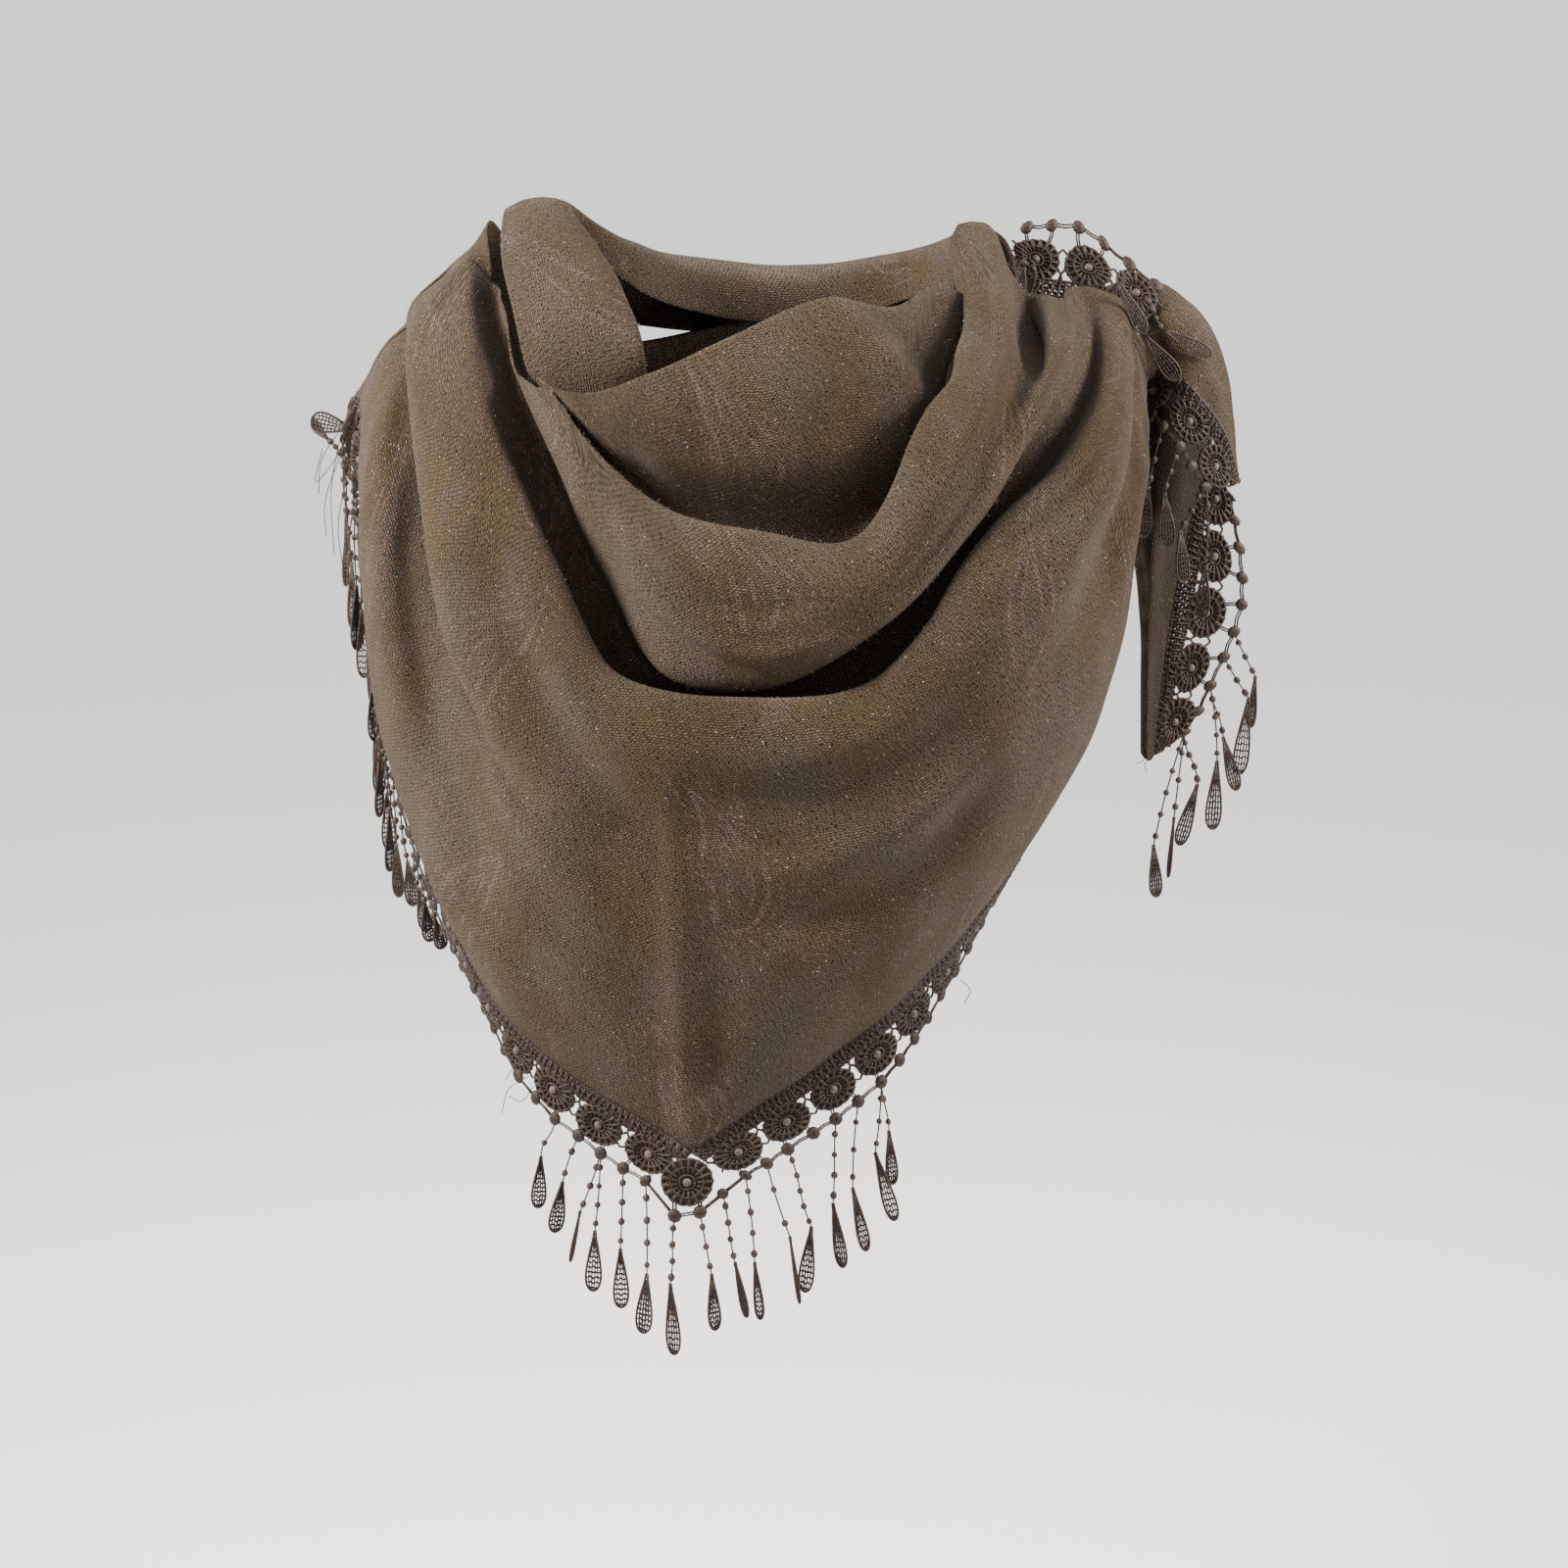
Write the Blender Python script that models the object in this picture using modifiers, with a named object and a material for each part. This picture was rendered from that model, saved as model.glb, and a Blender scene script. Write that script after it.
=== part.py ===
"""Triangle scarf with a guipure lace and teardrop trim, as worn: the long edge stands round the
throat in a three-fold cowl, the point hangs down the chest, and both ends pass behind the neck. One
of them comes forward again over the +X shoulder.

Frame: metres, +Z up, -Y is the wearer's front, origin at the base of the neck, on the neck's axis.
"""

import bpy
import bmesh
import numpy as np

# ---------------------------------------------------------------- driving sizes, in metres
CLOTH = 0.0016          # brushed twill, thick and soft
LACE = 0.0012           # guipure panel
FRINGE = 0.0020         # bead strings and drops, as a plain curtain of their reach
GAP = 0.0004            # between a piece and what it is sewn to
LACE_DEPTH = 0.030      # of the lace, where it hangs behind the wearer
FRINGE_DEPTH = 0.066    # of the bead strings and drops

# The folds are set out as a fitter sees them: from EYE, looking down by TILT, on a sheet of
# SHEET x SHEET half-millimetre squares. A fold point is (squares across, squares down, millimetres
# behind the neck's axis); minus is in front of it.
SHEET = 1600
EYE = (0.0, -1.2191, 0.1106)
TILT = np.radians(15.0)
SQUARES_PER_RADIAN = 2500.0

# ---------------------------------------------------------------- the front, a row for each fold line
# The columns run along a fold line, from the -X shoulder round the chest to the +X shoulder.
FRONT_COLUMNS = ("l_top", "l_high", "l_mid", "l_low", "low", "r_low", "r_mid", "r_high", "r_top")
FRONT = {
    # the long edge, standing round the throat
    "edge":     ((549, 385, -82), (566, 396, -96), (600, 401, -104), (660, 382, -108), (750, 342, -104), (835, 306, -95), (915, 311, -76), (958, 291, -60), (986, 303, -52)),
    "ridge":    ((553, 396, -80), (573, 411, -98), (612, 430, -109), (670, 428, -115), (760, 400, -115), (850, 345, -109), (896, 392, -113), (938, 430, -107), (967, 412, -86)),
    "bib":      ((557, 405, -77), (581, 425, -97), (620, 452, -109), (680, 470, -116), (768, 470, -118), (850, 455, -116), (900, 455, -112), (944, 450, -103), (968, 430, -84)),
    "bib_foot": ((562, 413, -72), (589, 440, -92), (631, 480, -104), (699, 528, -108), (785, 558, -108), (860, 568, -106), (908, 520, -103), (950, 468, -95), (974, 442, -78)),
    # first swag
    "root_1":   ((560, 421, -88), (592, 453, -103), (633, 498, -114), (699, 542, -121), (784, 571, -125), (868, 582, -123), (936, 520, -115), (981, 440, -90), (997, 406, -56)),
    "crest_1":  ((556, 397, -98), (582, 428, -110), (620, 474, -125), (693, 523, -137), (775, 543, -143), (866, 552, -142), (936, 440, -128), (984, 340, -84), (991, 226, -14)),
    "belly_1a": ((549, 396, -99), (577, 443, -115), (626, 520, -134), (695, 585, -151), (785, 612, -160), (885, 590, -158), (972, 480, -144), (1014, 350, -100), (1004, 228, -12)),
    "groove_1": ((542, 392, -94), (575, 457, -113), (627, 545, -132), (692, 616, -151), (780, 648, -161), (892, 612, -158), (990, 489, -141), (1044, 352, -76), (1034, 282, -26)),
    "belly_1b": ((536, 387, -85), (574, 468, -108), (627, 568, -127), (690, 646, -147), (774, 676, -159), (898, 632, -156), (1010, 494, -138), (1067, 378, -100), (1060, 300, -37)),
    "under_1":  ((529, 381, -77), (569, 474, -99), (625, 593, -116), (680, 687, -140), (760, 706, -149), (900, 640, -143), (1018, 502, -124), (1087, 366, -86), (1084, 306, -24)),
    "gap_1":    ((513, 313, -46), (545, 425, -74), (600, 575, -100), (668, 671, -114), (768, 691, -119), (900, 626, -113), (1016, 492, -101), (1090, 372, -66), (1090, 294, -5)),
    "floor_1":  ((503, 287, -20), (515, 412, -76), (568, 580, -107), (650, 723, -120), (775, 749, -126), (918, 693, -118), (1028, 523, -105), (1104, 396, -63), (1106, 292, 0)),
    # second swag
    "crest_2":  ((478, 266, -10), (496, 425, -98), (560, 560, -131), (630, 690, -151), (760, 714, -159), (885, 702, -157), (1004, 556, -143), (1108, 468, -112), (1141, 304, -6)),
    "belly_2":  ((450, 285, -10), (465, 440, -104), (530, 620, -140), (612, 748, -160), (765, 772, -168), (900, 750, -166), (1040, 600, -150), (1128, 480, -112), (1150, 310, -6)),
    "under_2":  ((420, 318, -8), (420, 420, -76), (460, 645, -112), (572, 800, -151), (770, 835, -163), (935, 790, -161), (1070, 640, -143), (1141, 475, -100), (1156, 322, -5)),
    "gap_2":    ((424, 326, -2), (432, 440, -58), (480, 670, -99), (580, 860, -149), (762, 890, -161), (960, 830, -157), (1092, 665, -134), (1135, 510, -86), (1154, 332, -3)),
    # the plain front, down to the point
    "panel_a":  ((396, 352, 0), (394, 450, -60), (428, 740, -98), (560, 930, -146), (748, 980, -160), (965, 900, -150), (1105, 720, -122), (1155, 520, -84), (1163, 345, -2)),
    "panel_b":  ((374, 392, 8), (368, 480, -34), (396, 770, -64), (526, 1008, -132), (728, 1085, -156), (955, 960, -136), (1119, 735, -92), (1168, 470, -52), (1168, 368, 0)),
    "hem":      ((367, 410, 15), (390, 502, 12), (425, 790, -14), (534, 1058, -118), (706, 1175, -152), (925, 1014, -122), (1082, 790, -60), (1136, 540, -32), (1152, 396, 8)),
}

# ---------------------------------------------------------------- the roll round the neck
# An upturned U: outer side, crown, and neck side. The columns start inside the cowl and climb over
# the -X shoulder.
COLLAR_FRONT = {
    "outer_edge": ((584, 440, -65), (541, 384, -71), (528, 335, -66), (513, 268, -44), (515, 216, -14)),
    "crown":      ((606, 448, -69), (582, 390, -81), (562, 335, -76), (546, 268, -54), (535, 206, -16)),
    "inner":      ((634, 442, -72), (627, 389, -84), (606, 333, -78), (588, 266, -54), (562, 205, -14)),
    "neck_side":  ((664, 420, -71), (657, 366, -79), (643, 318, -64), (622, 270, -40), (580, 212, -6)),
    "neck_foot":  ((660, 432, -66), (644, 384, -71), (628, 336, -54), (606, 290, -28), (578, 240, 4)),
}
# Behind the neck each line keeps a radius and a height, in millimetres, that lift by COLLAR_LIFT
# towards the shoulders; the ring is wider than it is deep by COLLAR_WIDE.
COLLAR_BACK = {"outer_edge": (119, 2), "crown": (112, 26), "inner": (94, 40), "neck_side": (77, 34), "neck_foot": (73, 12)}
COLLAR_TURNS = (-58, -30, 0, 30, 58)            # degrees from straight back
COLLAR_WIDE, COLLAR_LIFT = 1.12, 24
# Where it ends, behind the first swag's top on the +X shoulder.
COLLAR_END = {"outer_edge": (116, 4, 40), "crown": (107, 0, 57), "inner": (93, -3, 66), "neck_side": (86, 4, 56), "neck_foot": (85, 12, 34)}

# ---------------------------------------------------------------- the drape down the back
# First a column on top of the -X shoulder, a point for each of the front's lines from floor_1 down.
BACK_SHOULDER = ((501, 226, 24), (483, 256, 31), (462, 286, 32), (438, 314, 34), (421, 337, 36), (399, 363, 38), (376, 393, 43), (362, 416, 49))
# Then its first and last line at four places, x, y, z in millimetres.
BACK_TOP = ((-108, 74, 6), (0, 97, 14), (88, 78, 12), (134, 48, 18))
BACK_HEM = ((-172, 96, -92), (0, 128, -136), (124, 106, -96), (180, 52, -24))
BACK_RIPPLE, BACK_BULGE = 0.006, 0.010
# The other end passes under it, from the +X shoulder.
UNDER_TOP = ((150, 26, 8), (108, 58, -22), (40, 78, -40), (-34, 80, -48), (-92, 62, -44))
UNDER_HEM = ((166, 30, -62), (126, 76, -122), (50, 98, -162), (-36, 98, -140), (-98, 72, -80))
UNDER_RIPPLE, UNDER_BULGE = 0.003, 0.005

# ---------------------------------------------------------------- the end over the +X shoulder
# A fold turned over on top, and the cloth under it. Both start at the drape's last column, at these
# shares of its depth.
TAIL_SHARES = (0.0, 0.2, 0.4, 0.6)
TAIL = {
    "inner_edge": ((1120, 298, 32), (1160, 324, 18), (1164, 352, 17), (1164, 378, 17)),
    "fold":       ((1150, 288, 34), (1186, 314, 10), (1192, 350, -2), (1205, 386, -10)),
    "swell":      ((1178, 288, 36), (1214, 319, 12), (1227, 362, -4), (1243, 430, -10)),
    "outer_edge": ((1203, 304, 38), (1236, 336, 18), (1253, 388, 6), (1263, 492, 0)),
}
TAIL_END_SHARES = (0.66, 0.77, 0.88, 1.0)
TAIL_END = {
    "inner_edge": ((1160, 356, 32), (1154, 430, 24), (1152, 510, 12), (1163, 620, 2), (1165, 768, -6)),
    "roll":       ((1190, 362, 26), (1184, 430, 8), (1178, 520, -2), (1172, 640, -8), (1169, 774, -10)),
    "furrow":     ((1216, 374, 32), (1207, 440, 16), (1194, 530, 8), (1181, 645, 2), (1173, 776, -6)),
    "outer_edge": ((1243, 392, 42), (1234, 460, 26), (1211, 550, 16), (1191, 655, 8), (1178, 770, -2)),
}

# ---------------------------------------------------------------- lace and fringe that show in front
LACE_LEFT = ((350, 440, 36), (364, 530, 32), (404, 806, 4), (440, 918, -26), (492, 1026, -84), (542, 1118, -122), (703, 1238, -158))
LACE_LEFT_STEPS = (3, 3, 1, 1, 1, 3)
LACE_RIGHT = ((703, 1238, -158), (916, 1088, -126), (958, 1022, -104), (1064, 800, -34), (1128, 566, -6), (1146, 432, 28))
LACE_RIGHT_STEPS = (3, 1, 2, 3, 3)
# ends of the bead strings
FRINGE_SIDE_LEFT = ((316, 438, 46), (342, 604, 42), (364, 662, 36), (414, 922, 6), (460, 988, -18))
FRINGE_SIDE_LEFT_STEPS = (1, 2, 3, 1)
FRINGE_FRONT_LEFT = ((545, 1252, -124), (604, 1318, -140), (657, 1356, -152), (700, 1382, -158))
FRINGE_FRONT_RIGHT = ((700, 1382, -158), (775, 1346, -152), (846, 1302, -142), (914, 1232, -128))
FRINGE_SIDE_RIGHT = ((905, 1024, -102), (1000, 905, -46), (1062, 690, -6), (1104, 560, 26))
FRINGE_SIDE_RIGHT_STEPS = (2, 3, 3)
LACE_TAIL = ((1160, 414, 12), (1186, 437, -14), (1219, 482, -15), (1254, 538, -4))
FRINGE_TAIL = ((1162, 520, -2), (1178, 560, -15), (1208, 596, -16), (1248, 650, -5))
LACE_TAIL_END = ((1256, 500, 20), (1270, 612, 13), (1238, 700, 6), (1188, 780, -4))
FRINGE_TAIL_END = ((1282, 772, 12), (1236, 848, 6), (1182, 914, -4))
# the lace standing along the +X shoulder: where it is sewn, and its free side
LACE_SHOULDER = (
    ((1030, 255, 14), (1056, 276, 12), (1096, 291, 13), (1138, 302, 9), (1166, 328, 4)),
    ((1034, 233, 17), (1064, 228, 19), (1098, 229, 21), (1142, 260, 19), (1196, 302, 11)),
)
FRINGE_SHOULDER = (
    ((1141, 288, -17), (1164, 297, -13), (1184, 309, -8), (1202, 336, -14)),
    ((1160, 342, -22), (1172, 374, -22), (1203, 387, -25), (1236, 364, -18)),
)
FRINGE_COLLAR = (((1040, 246, 2), (1055, 252, 2)), ((1040, 306, -10), (1064, 304, -4)))


# ---------------------------------------------------------------- points, curves and sheets
def seen(points):
    """Points of the drawing, (across, down, millimetres behind the neck), as points in space."""
    p = np.asarray(points, float)
    u = (p[..., 0] - SHEET / 2) / SQUARES_PER_RADIAN
    v = (SHEET / 2 - p[..., 1]) / SQUARES_PER_RADIAN
    y = p[..., 2] / 1000
    reach = (y - EYE[1]) / (np.cos(TILT) + v * np.sin(TILT))
    return np.stack([EYE[0] + u * reach, y, EYE[2] + reach * (v * np.cos(TILT) - np.sin(TILT))], axis=-1)


def millimetres(points):
    return np.asarray(points, float) / 1000


def smooth(points, steps, axis=0):
    """Rows of points joined by a curve that passes through each, with `steps` new rows to a span."""
    p = np.moveaxis(np.asarray(points, float), axis, 0)
    steps = [steps] * (len(p) - 1) if np.isscalar(steps) else steps
    d = np.maximum(np.linalg.norm(np.diff(p, axis=0), axis=-1), 1e-6)[..., None]
    slope = np.diff(p, axis=0) / d
    m = np.empty_like(p)
    m[1:-1] = (slope[:-1] * d[1:] + slope[1:] * d[:-1]) / (d[1:] + d[:-1])
    m[0], m[-1] = slope[0], slope[-1]
    rows = []
    for i, count in enumerate(steps):
        for t in np.arange(count) / count:
            rows.append((2*t**3 - 3*t**2 + 1) * p[i] + (t**3 - 2*t**2 + t) * d[i] * m[i]
                        + (3*t**2 - 2*t**3) * p[i + 1] + (t**3 - t**2) * d[i] * m[i + 1])
    rows.append(p[-1])
    return np.moveaxis(np.array(rows), 0, axis)


def sheet(lines, along=3, across=2, corner=None):
    """Fold lines [line, column, xyz] as a smooth sheet. The last line may turn a corner at one column."""
    rows = smooth(lines, along, axis=1)
    if corner is not None:
        rows[-1] = np.concatenate([smooth(lines[-1, :corner + 1], along)[:-1], smooth(lines[-1, corner:], along)])
    return smooth(rows, across, axis=0)


def spread(first, last, count, ripple, bulge):
    """Lines evenly between two, standing out from the straight between them in three soft folds,
    which die away at the last column."""
    t = np.linspace(0, 1, count)[:, None, None]
    rows = first * (1 - t) + last * t
    fade = np.linspace(1, 0, len(first))[None, :, None] ** 0.5
    lift = fade * np.sin(np.pi * t) * (bulge + ripple * np.sin(3 * 2 * np.pi * t))
    out = rows * np.array([1, 1, 0])
    return rows + lift * out / np.linalg.norm(out, axis=-1, keepdims=True)


def between(first, last, shares):
    return np.array([first * (1 - s) + last * s for s in shares])


def unit(v):
    return v / np.maximum(np.linalg.norm(v, axis=-1, keepdims=True), 1e-9)


def seam(head, out, way, wall_there, wall_here):
    """Where a piece starts that goes `way` from the edge `head` of one that ends going `out`, so that
    the two walls stay GAP apart at any fold between them. Directions are taken square to the edge."""
    edge = unit(np.gradient(head, axis=0))
    way = unit(way)
    square_out = unit(out - np.sum(out * edge, axis=-1, keepdims=True) * edge)
    square_way = way - np.sum(way * edge, axis=-1, keepdims=True) * edge
    lean = np.linalg.norm(square_way, axis=-1, keepdims=True)
    c = np.sum(square_out * square_way / lean, axis=-1, keepdims=True)
    s = np.sqrt(np.maximum(1 - c * c, 0))
    ahead = np.where(c > 0.05, (GAP + wall_here / 2 * s) / np.maximum(c, 0.05), 1.0)
    beside = (wall_there / 2 + GAP + wall_here / 2 * np.abs(c)) / np.maximum(s, 0.05)
    return head + way * np.minimum(np.minimum(ahead, beside) / np.maximum(lean, 0.1), 3 * GAP + wall_here)


def strip(head, out, foot, wall_there, wall_here, rows=3):
    """A panel sewn to the edge `head`, down to the edge `foot`."""
    start = seam(head, out, foot - head, wall_there, wall_here)
    return between(start, foot, np.linspace(0, 1, rows))


# ---------------------------------------------------------------- the stretches of cloth
def front_lines():
    return seen(list(FRONT.values()))


def collar_lines():
    rows = []
    for name, line in COLLAR_FRONT.items():
        radius, height = COLLAR_BACK[name]
        turn = np.radians(COLLAR_TURNS)
        behind = np.stack([COLLAR_WIDE * radius * np.sin(turn), radius * np.cos(turn),
                           height + COLLAR_LIFT * np.sin(turn) ** 2], axis=-1)
        rows.append(np.vstack([seen(line), millimetres(behind), millimetres([COLLAR_END[name]])]))
    return np.array(rows)


def back_lines(front):
    """The front's lines from floor_1 to the hem, taken over the -X shoulder and across the back."""
    first = list(FRONT).index("floor_1")
    end, before = front[first:, 0], front[first:, 1]
    shoulder = seen(BACK_SHOULDER)
    start = seam(end, end - before, shoulder - end, CLOTH, CLOTH)
    across = spread(millimetres(BACK_TOP), millimetres(BACK_HEM), len(start), BACK_RIPPLE, BACK_BULGE)
    return np.concatenate([start[:, None], shoulder[:, None], across], axis=1)


def under_lines():
    return spread(millimetres(UNDER_TOP), millimetres(UNDER_HEM), 7, UNDER_RIPPLE, UNDER_BULGE)


def end_lines(table, shares):
    """Lines that leave the drape's last column at these shares of its depth."""
    lines = seen(list(table.values()))
    end = between(millimetres(BACK_TOP[-1]), millimetres(BACK_HEM[-1]), shares)
    before = between(millimetres(BACK_TOP[-2]), millimetres(BACK_HEM[-2]), shares)
    start = seam(end, end - before, lines[:, 0] - end, CLOTH, CLOTH)
    return np.concatenate([start[:, None], lines], axis=1)


def hanging(edge, depth, swing=0.0):
    """The edge that a piece of this depth reaches when it hangs from another, swung outwards."""
    out = unit(edge * np.array([1, 1, 0]))
    return edge + unit(out * swing + np.array([0, 0, -1.0])) * depth


# ---------------------------------------------------------------- solids
def material(name, colour, roughness):
    m = bpy.data.materials.new(name)
    m.use_nodes = True
    shader = m.node_tree.nodes["Principled BSDF"]
    shader.inputs["Base Color"].default_value = (*colour, 1)
    shader.inputs["Roughness"].default_value = roughness
    shader.inputs["Metallic"].default_value = 0.0
    return m


def wall(name, rows, thickness, finish, collection):
    """A sheet of points [line, column, xyz] as a wall of this thickness."""
    bm = bmesh.new()
    grid = [[bm.verts.new(p) for p in row] for row in rows]
    for a, b in zip(grid, grid[1:]):
        for i in range(len(a) - 1):
            bm.faces.new((a[i], b[i], b[i + 1], a[i + 1]))
    mesh = bpy.data.meshes.new(name)
    bm.to_mesh(mesh)
    bm.free()
    mesh.materials.append(finish)
    mesh.shade_smooth()
    obj = bpy.data.objects.new(name, mesh)
    collection.objects.link(obj)
    solid = obj.modifiers.new("thickness", "SOLIDIFY")
    solid.thickness = thickness
    solid.offset = 0.0
    solid.use_rim = True
    return obj


def build():
    for obj in list(bpy.data.objects):
        bpy.data.objects.remove(obj)
    scarf = bpy.data.collections.new("triangle_scarf")
    bpy.context.scene.collection.children.link(scarf)
    twill = material("brushed_twill", (0.20, 0.155, 0.115), 0.9)
    guipure = material("guipure_lace", (0.085, 0.058, 0.045), 0.75)

    front_rows = front_lines()
    front = sheet(front_rows, corner=FRONT_COLUMNS.index("low"))
    back, under = sheet(back_lines(front_rows)), sheet(under_lines(), across=1)
    tail, tail_end = sheet(end_lines(TAIL, TAIL_SHARES)), sheet(end_lines(TAIL_END, TAIL_END_SHARES))
    for name, rows in (
        ("cloth_front", front),
        ("cloth_collar", sheet(collar_lines())),
        ("cloth_back", back),
        ("cloth_back_under", under),
        ("cloth_tail", tail),
        ("cloth_tail_end", tail_end),
    ):
        wall(name, rows, CLOTH, twill, scarf)

    # lace: the edge it is sewn to, which way the cloth ends there, and the lace's free edge
    hem, out = front[-1], front[-1] - front[-2]
    point = len(hem) // 2
    apart = unit(hem[point + 1] - hem[point - 1]) * GAP             # between the two laces at the point
    left_foot, right_foot = smooth(seen(LACE_LEFT), LACE_LEFT_STEPS), smooth(seen(LACE_RIGHT), LACE_RIGHT_STEPS)
    left_hem, right_hem = hem[:point + 1].copy(), hem[point:].copy()
    for edge in (left_hem, left_foot):
        edge[-1] -= apart
    for edge in (right_hem, right_foot):
        edge[0] += apart
    back_foot = hanging(back[-1], LACE_DEPTH, 0.25)
    turn = smooth(np.array([left_foot[0], back_foot[3], back_foot[6]]), 3)
    back_foot[:6] = turn[:6]
    under_foot = hanging(under[-1], LACE_DEPTH, 0.1)
    tail_foot = smooth(seen(LACE_TAIL), 2)
    end_foot = smooth(seen(LACE_TAIL_END), 3)
    laces = {
        "lace_front_left": strip(left_hem, out[:point + 1], left_foot, CLOTH, LACE),
        "lace_front_right": strip(right_hem, out[point:], right_foot, CLOTH, LACE),
        "lace_back": strip(back[-1, 1:], (back[-1] - back[-2])[1:], back_foot[1:], CLOTH, LACE),
        "lace_back_under": strip(under[-1], under[-1] - under[-2], under_foot, CLOTH, LACE),
        "lace_tail": strip(tail[:, -1], tail[:, -1] - tail[:, -2], tail_foot, CLOTH, LACE),
        "lace_tail_end": strip(tail_end[-1, 6:], (tail_end[-1] - tail_end[-2])[6:], end_foot, CLOTH, LACE),
        "lace_shoulder": between(*(smooth(seen(line), 2) for line in LACE_SHOULDER), np.linspace(0, 1, 3)),
    }
    for name, rows in laces.items():
        wall(name, rows, LACE, guipure, scarf)

    # fringe: the lace it hangs from, the columns it takes, and how far it reaches
    left_reach, right_reach = seen(FRINGE_FRONT_LEFT), seen(FRINGE_FRONT_RIGHT)
    left_reach[-1] -= apart
    right_reach[0] += apart
    for name, lace, columns, reach in (
        ("fringe_side_left", "lace_front_left", slice(0, 8), smooth(seen(FRINGE_SIDE_LEFT), FRINGE_SIDE_LEFT_STEPS)),
        ("fringe_front_left", "lace_front_left", slice(9, 13), left_reach),
        ("fringe_front_right", "lace_front_right", slice(0, 4), right_reach),
        ("fringe_side_right", "lace_front_right", slice(4, 13), smooth(seen(FRINGE_SIDE_RIGHT), FRINGE_SIDE_RIGHT_STEPS)),
        ("fringe_back", "lace_back", slice(1, None), hanging(back_foot[2:], FRINGE_DEPTH)),
        ("fringe_back_under", "lace_back_under", slice(0, None), hanging(under_foot, FRINGE_DEPTH)),
        ("fringe_tail", "lace_tail", slice(0, None), smooth(seen(FRINGE_TAIL), 2)),
        ("fringe_tail_end", "lace_tail_end", slice(3, None), smooth(seen(FRINGE_TAIL_END), 3)),
    ):
        rows = laces[lace][:, columns]
        wall(name, strip(rows[-1], rows[-1] - rows[-2], reach, LACE, FRINGE), FRINGE, guipure, scarf)
    for name, lines in (("fringe_shoulder", FRINGE_SHOULDER), ("fringe_collar", FRINGE_COLLAR)):
        wall(name, between(*(seen(line) for line in lines), np.linspace(0, 1, 3)), FRINGE, guipure, scarf)
    return scarf


build()
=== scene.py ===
"""Looks of the triangle scarf: brushed twill, corded lace, bead strings and netted drops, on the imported
frame. Metres, +Z up, -Y is the wearer's front."""

import bpy
import numpy as np
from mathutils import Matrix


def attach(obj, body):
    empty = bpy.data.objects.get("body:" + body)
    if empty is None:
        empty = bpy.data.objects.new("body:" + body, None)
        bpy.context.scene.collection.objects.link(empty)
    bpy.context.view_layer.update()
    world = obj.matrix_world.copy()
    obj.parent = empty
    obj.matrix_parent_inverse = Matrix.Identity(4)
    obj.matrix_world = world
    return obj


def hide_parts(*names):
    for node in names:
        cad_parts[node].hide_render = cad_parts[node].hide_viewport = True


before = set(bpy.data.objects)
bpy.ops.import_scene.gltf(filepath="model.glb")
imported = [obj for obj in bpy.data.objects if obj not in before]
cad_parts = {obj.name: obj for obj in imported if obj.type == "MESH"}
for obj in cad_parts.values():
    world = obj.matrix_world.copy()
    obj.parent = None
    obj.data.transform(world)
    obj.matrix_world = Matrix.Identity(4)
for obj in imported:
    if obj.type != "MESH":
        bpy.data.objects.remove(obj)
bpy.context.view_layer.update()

# ---------------------------------------------------------------- driving sizes, as in the solids
CLOTH = 0.0016
LACE = 0.0012
FRINGE = 0.0020
GAP = 0.0004
LACE_DEPTH = 0.030
FRINGE_DEPTH = 0.066
THIN = 0.0011           # the shell that shows, inside the solids' walls

# The folds are set out as a fitter sees them: from EYE, looking down by TILT, on a sheet of
# SHEET x SHEET half-millimetre squares. A fold point is (squares across, squares down, millimetres
# behind the neck's axis); minus is in front of it.
SHEET = 1600
EYE = (0.0, -1.2191, 0.1106)
TILT = np.radians(15.0)
SQUARES_PER_RADIAN = 2500.0

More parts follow.
